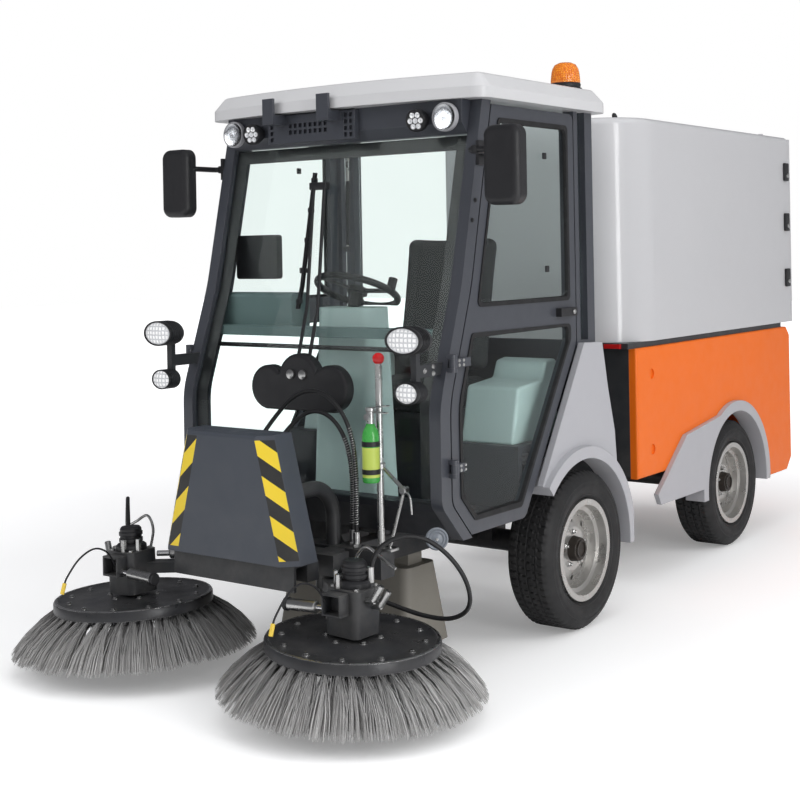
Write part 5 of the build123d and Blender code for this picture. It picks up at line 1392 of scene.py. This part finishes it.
# Studio
FLOOR_SIZE = 60.0
FLOOR_Z = -0.001
FADE_NEAR = 2.5
FADE_FAR = 8.0


def straight_view(tree, path):
    """One where the camera looks straight or through glass, with no bounce between."""
    seen = math(tree, "MAXIMUM", path["Is Camera Ray"], path["Is Transmission Ray"])
    bounces = math(tree, "ADD", path["Diffuse Depth"], path["Glossy Depth"])
    return math(tree, "MULTIPLY", seen, math(tree, "LESS_THAN", bounces, 0.5))


def make_floor():
    """Pale floor that keeps the shadow and turns white away from the machine."""
    mesh = bpy.data.meshes.new("floor")
    half = FLOOR_SIZE / 2
    corners = [(x * half, y * half, FLOOR_Z) for x, y in ((-1, -1), (1, -1), (1, 1), (-1, 1))]
    mesh.from_pydata(corners, [], [(0, 1, 2, 3)])
    floor = bpy.data.objects.new("floor", mesh)
    scene.collection.objects.link(floor)
    material = bpy.data.materials.new("floor_pale")
    material.use_nodes = True
    tree = material.node_tree
    shader = tree.nodes["Principled BSDF"]
    cloud = put(tree, "TexNoise", {"Vector": place_of(tree), "Scale": 0.4, "Detail": 2.0}).outputs["Fac"]
    tree.links.new(mix(tree, cloud, rgba((0.9, 0.9, 0.9)), rgba((0.93, 0.93, 0.93))),
                   shader.inputs["Base Color"])
    shader.inputs["Roughness"].default_value = 0.9
    shader.inputs["Specular IOR Level"].default_value = 0.1
    path = put(tree, "LightPath").outputs
    direct = straight_view(tree, path)
    away = put(tree, "VectorMath", {0: place_of(tree)}, operation="LENGTH").outputs["Value"]
    shader.inputs["Emission Color"].default_value = rgba((1.0, 1.0, 1.0))
    glow = math(tree, "MULTIPLY", direct, ramp(tree, away, FADE_NEAR, FADE_FAR, 0.22, 0.9))
    tree.links.new(glow, shader.inputs["Emission Strength"])
    mesh.materials.append(material)


def make_world():
    """Soft surrounding light, with white behind the object."""
    world = bpy.data.worlds.new("studio")
    scene.world = world
    world.use_nodes = True
    tree = world.node_tree
    path = put(tree, "LightPath").outputs
    direct = straight_view(tree, path)
    way = put(tree, "SeparateXYZ", {0: put(tree, "TexCoord").outputs["Generated"]}).outputs
    sky = mix(tree, ramp(tree, way["Z"], -0.1, 0.9), rgba((0.34, 0.34, 0.35)), rgba((0.52, 0.525, 0.54)))
    gloss = mix(tree, ramp(tree, way["Y"], -0.2, 0.5), rgba((0.12, 0.12, 0.13)), rgba((0.4, 0.4, 0.41)))
    shine = mix(tree, path["Is Glossy Ray"], sky, gloss)
    light = tree.nodes["Background"]
    tree.links.new(mix(tree, direct, shine, rgba((1.0, 1.0, 1.0))), light.inputs["Color"])


def softbox(name, azimuth, away, height, wide, high, power, mirrored=True, aim=(0.2, 0.0, 1.0)):
    """A rectangular lamp that faces the machine."""
    data = bpy.data.lights.new(name, "AREA")
    data.shape = "RECTANGLE"
    data.size = wide
    data.size_y = high
    data.energy = power
    spot = Vector((away * cos(radians(azimuth)), away * sin(radians(azimuth)), height))
    lamp = bpy.data.objects.new(name, data)
    lamp.matrix_world = (Matrix.Translation(spot)
                         @ (Vector(aim) - spot).to_track_quat("-Z", "Y").to_matrix().to_4x4())
    lamp.visible_glossy = mirrored
    scene.collection.objects.link(lamp)


make_floor()
make_world()
softbox("strip", 64, 6.5, 2.2, 0.9, 4.5, 110)
softbox("key", 100, 7.0, 5.5, 4.0, 3.0, 150, mirrored=False)
softbox("fill", -25, 7.0, 4.0, 4.0, 3.0, 120, mirrored=False)
softbox("top", 40, 1.5, 7.5, 6.0, 6.0, 160, mirrored=False)
scene.view_settings.view_transform = "Standard"
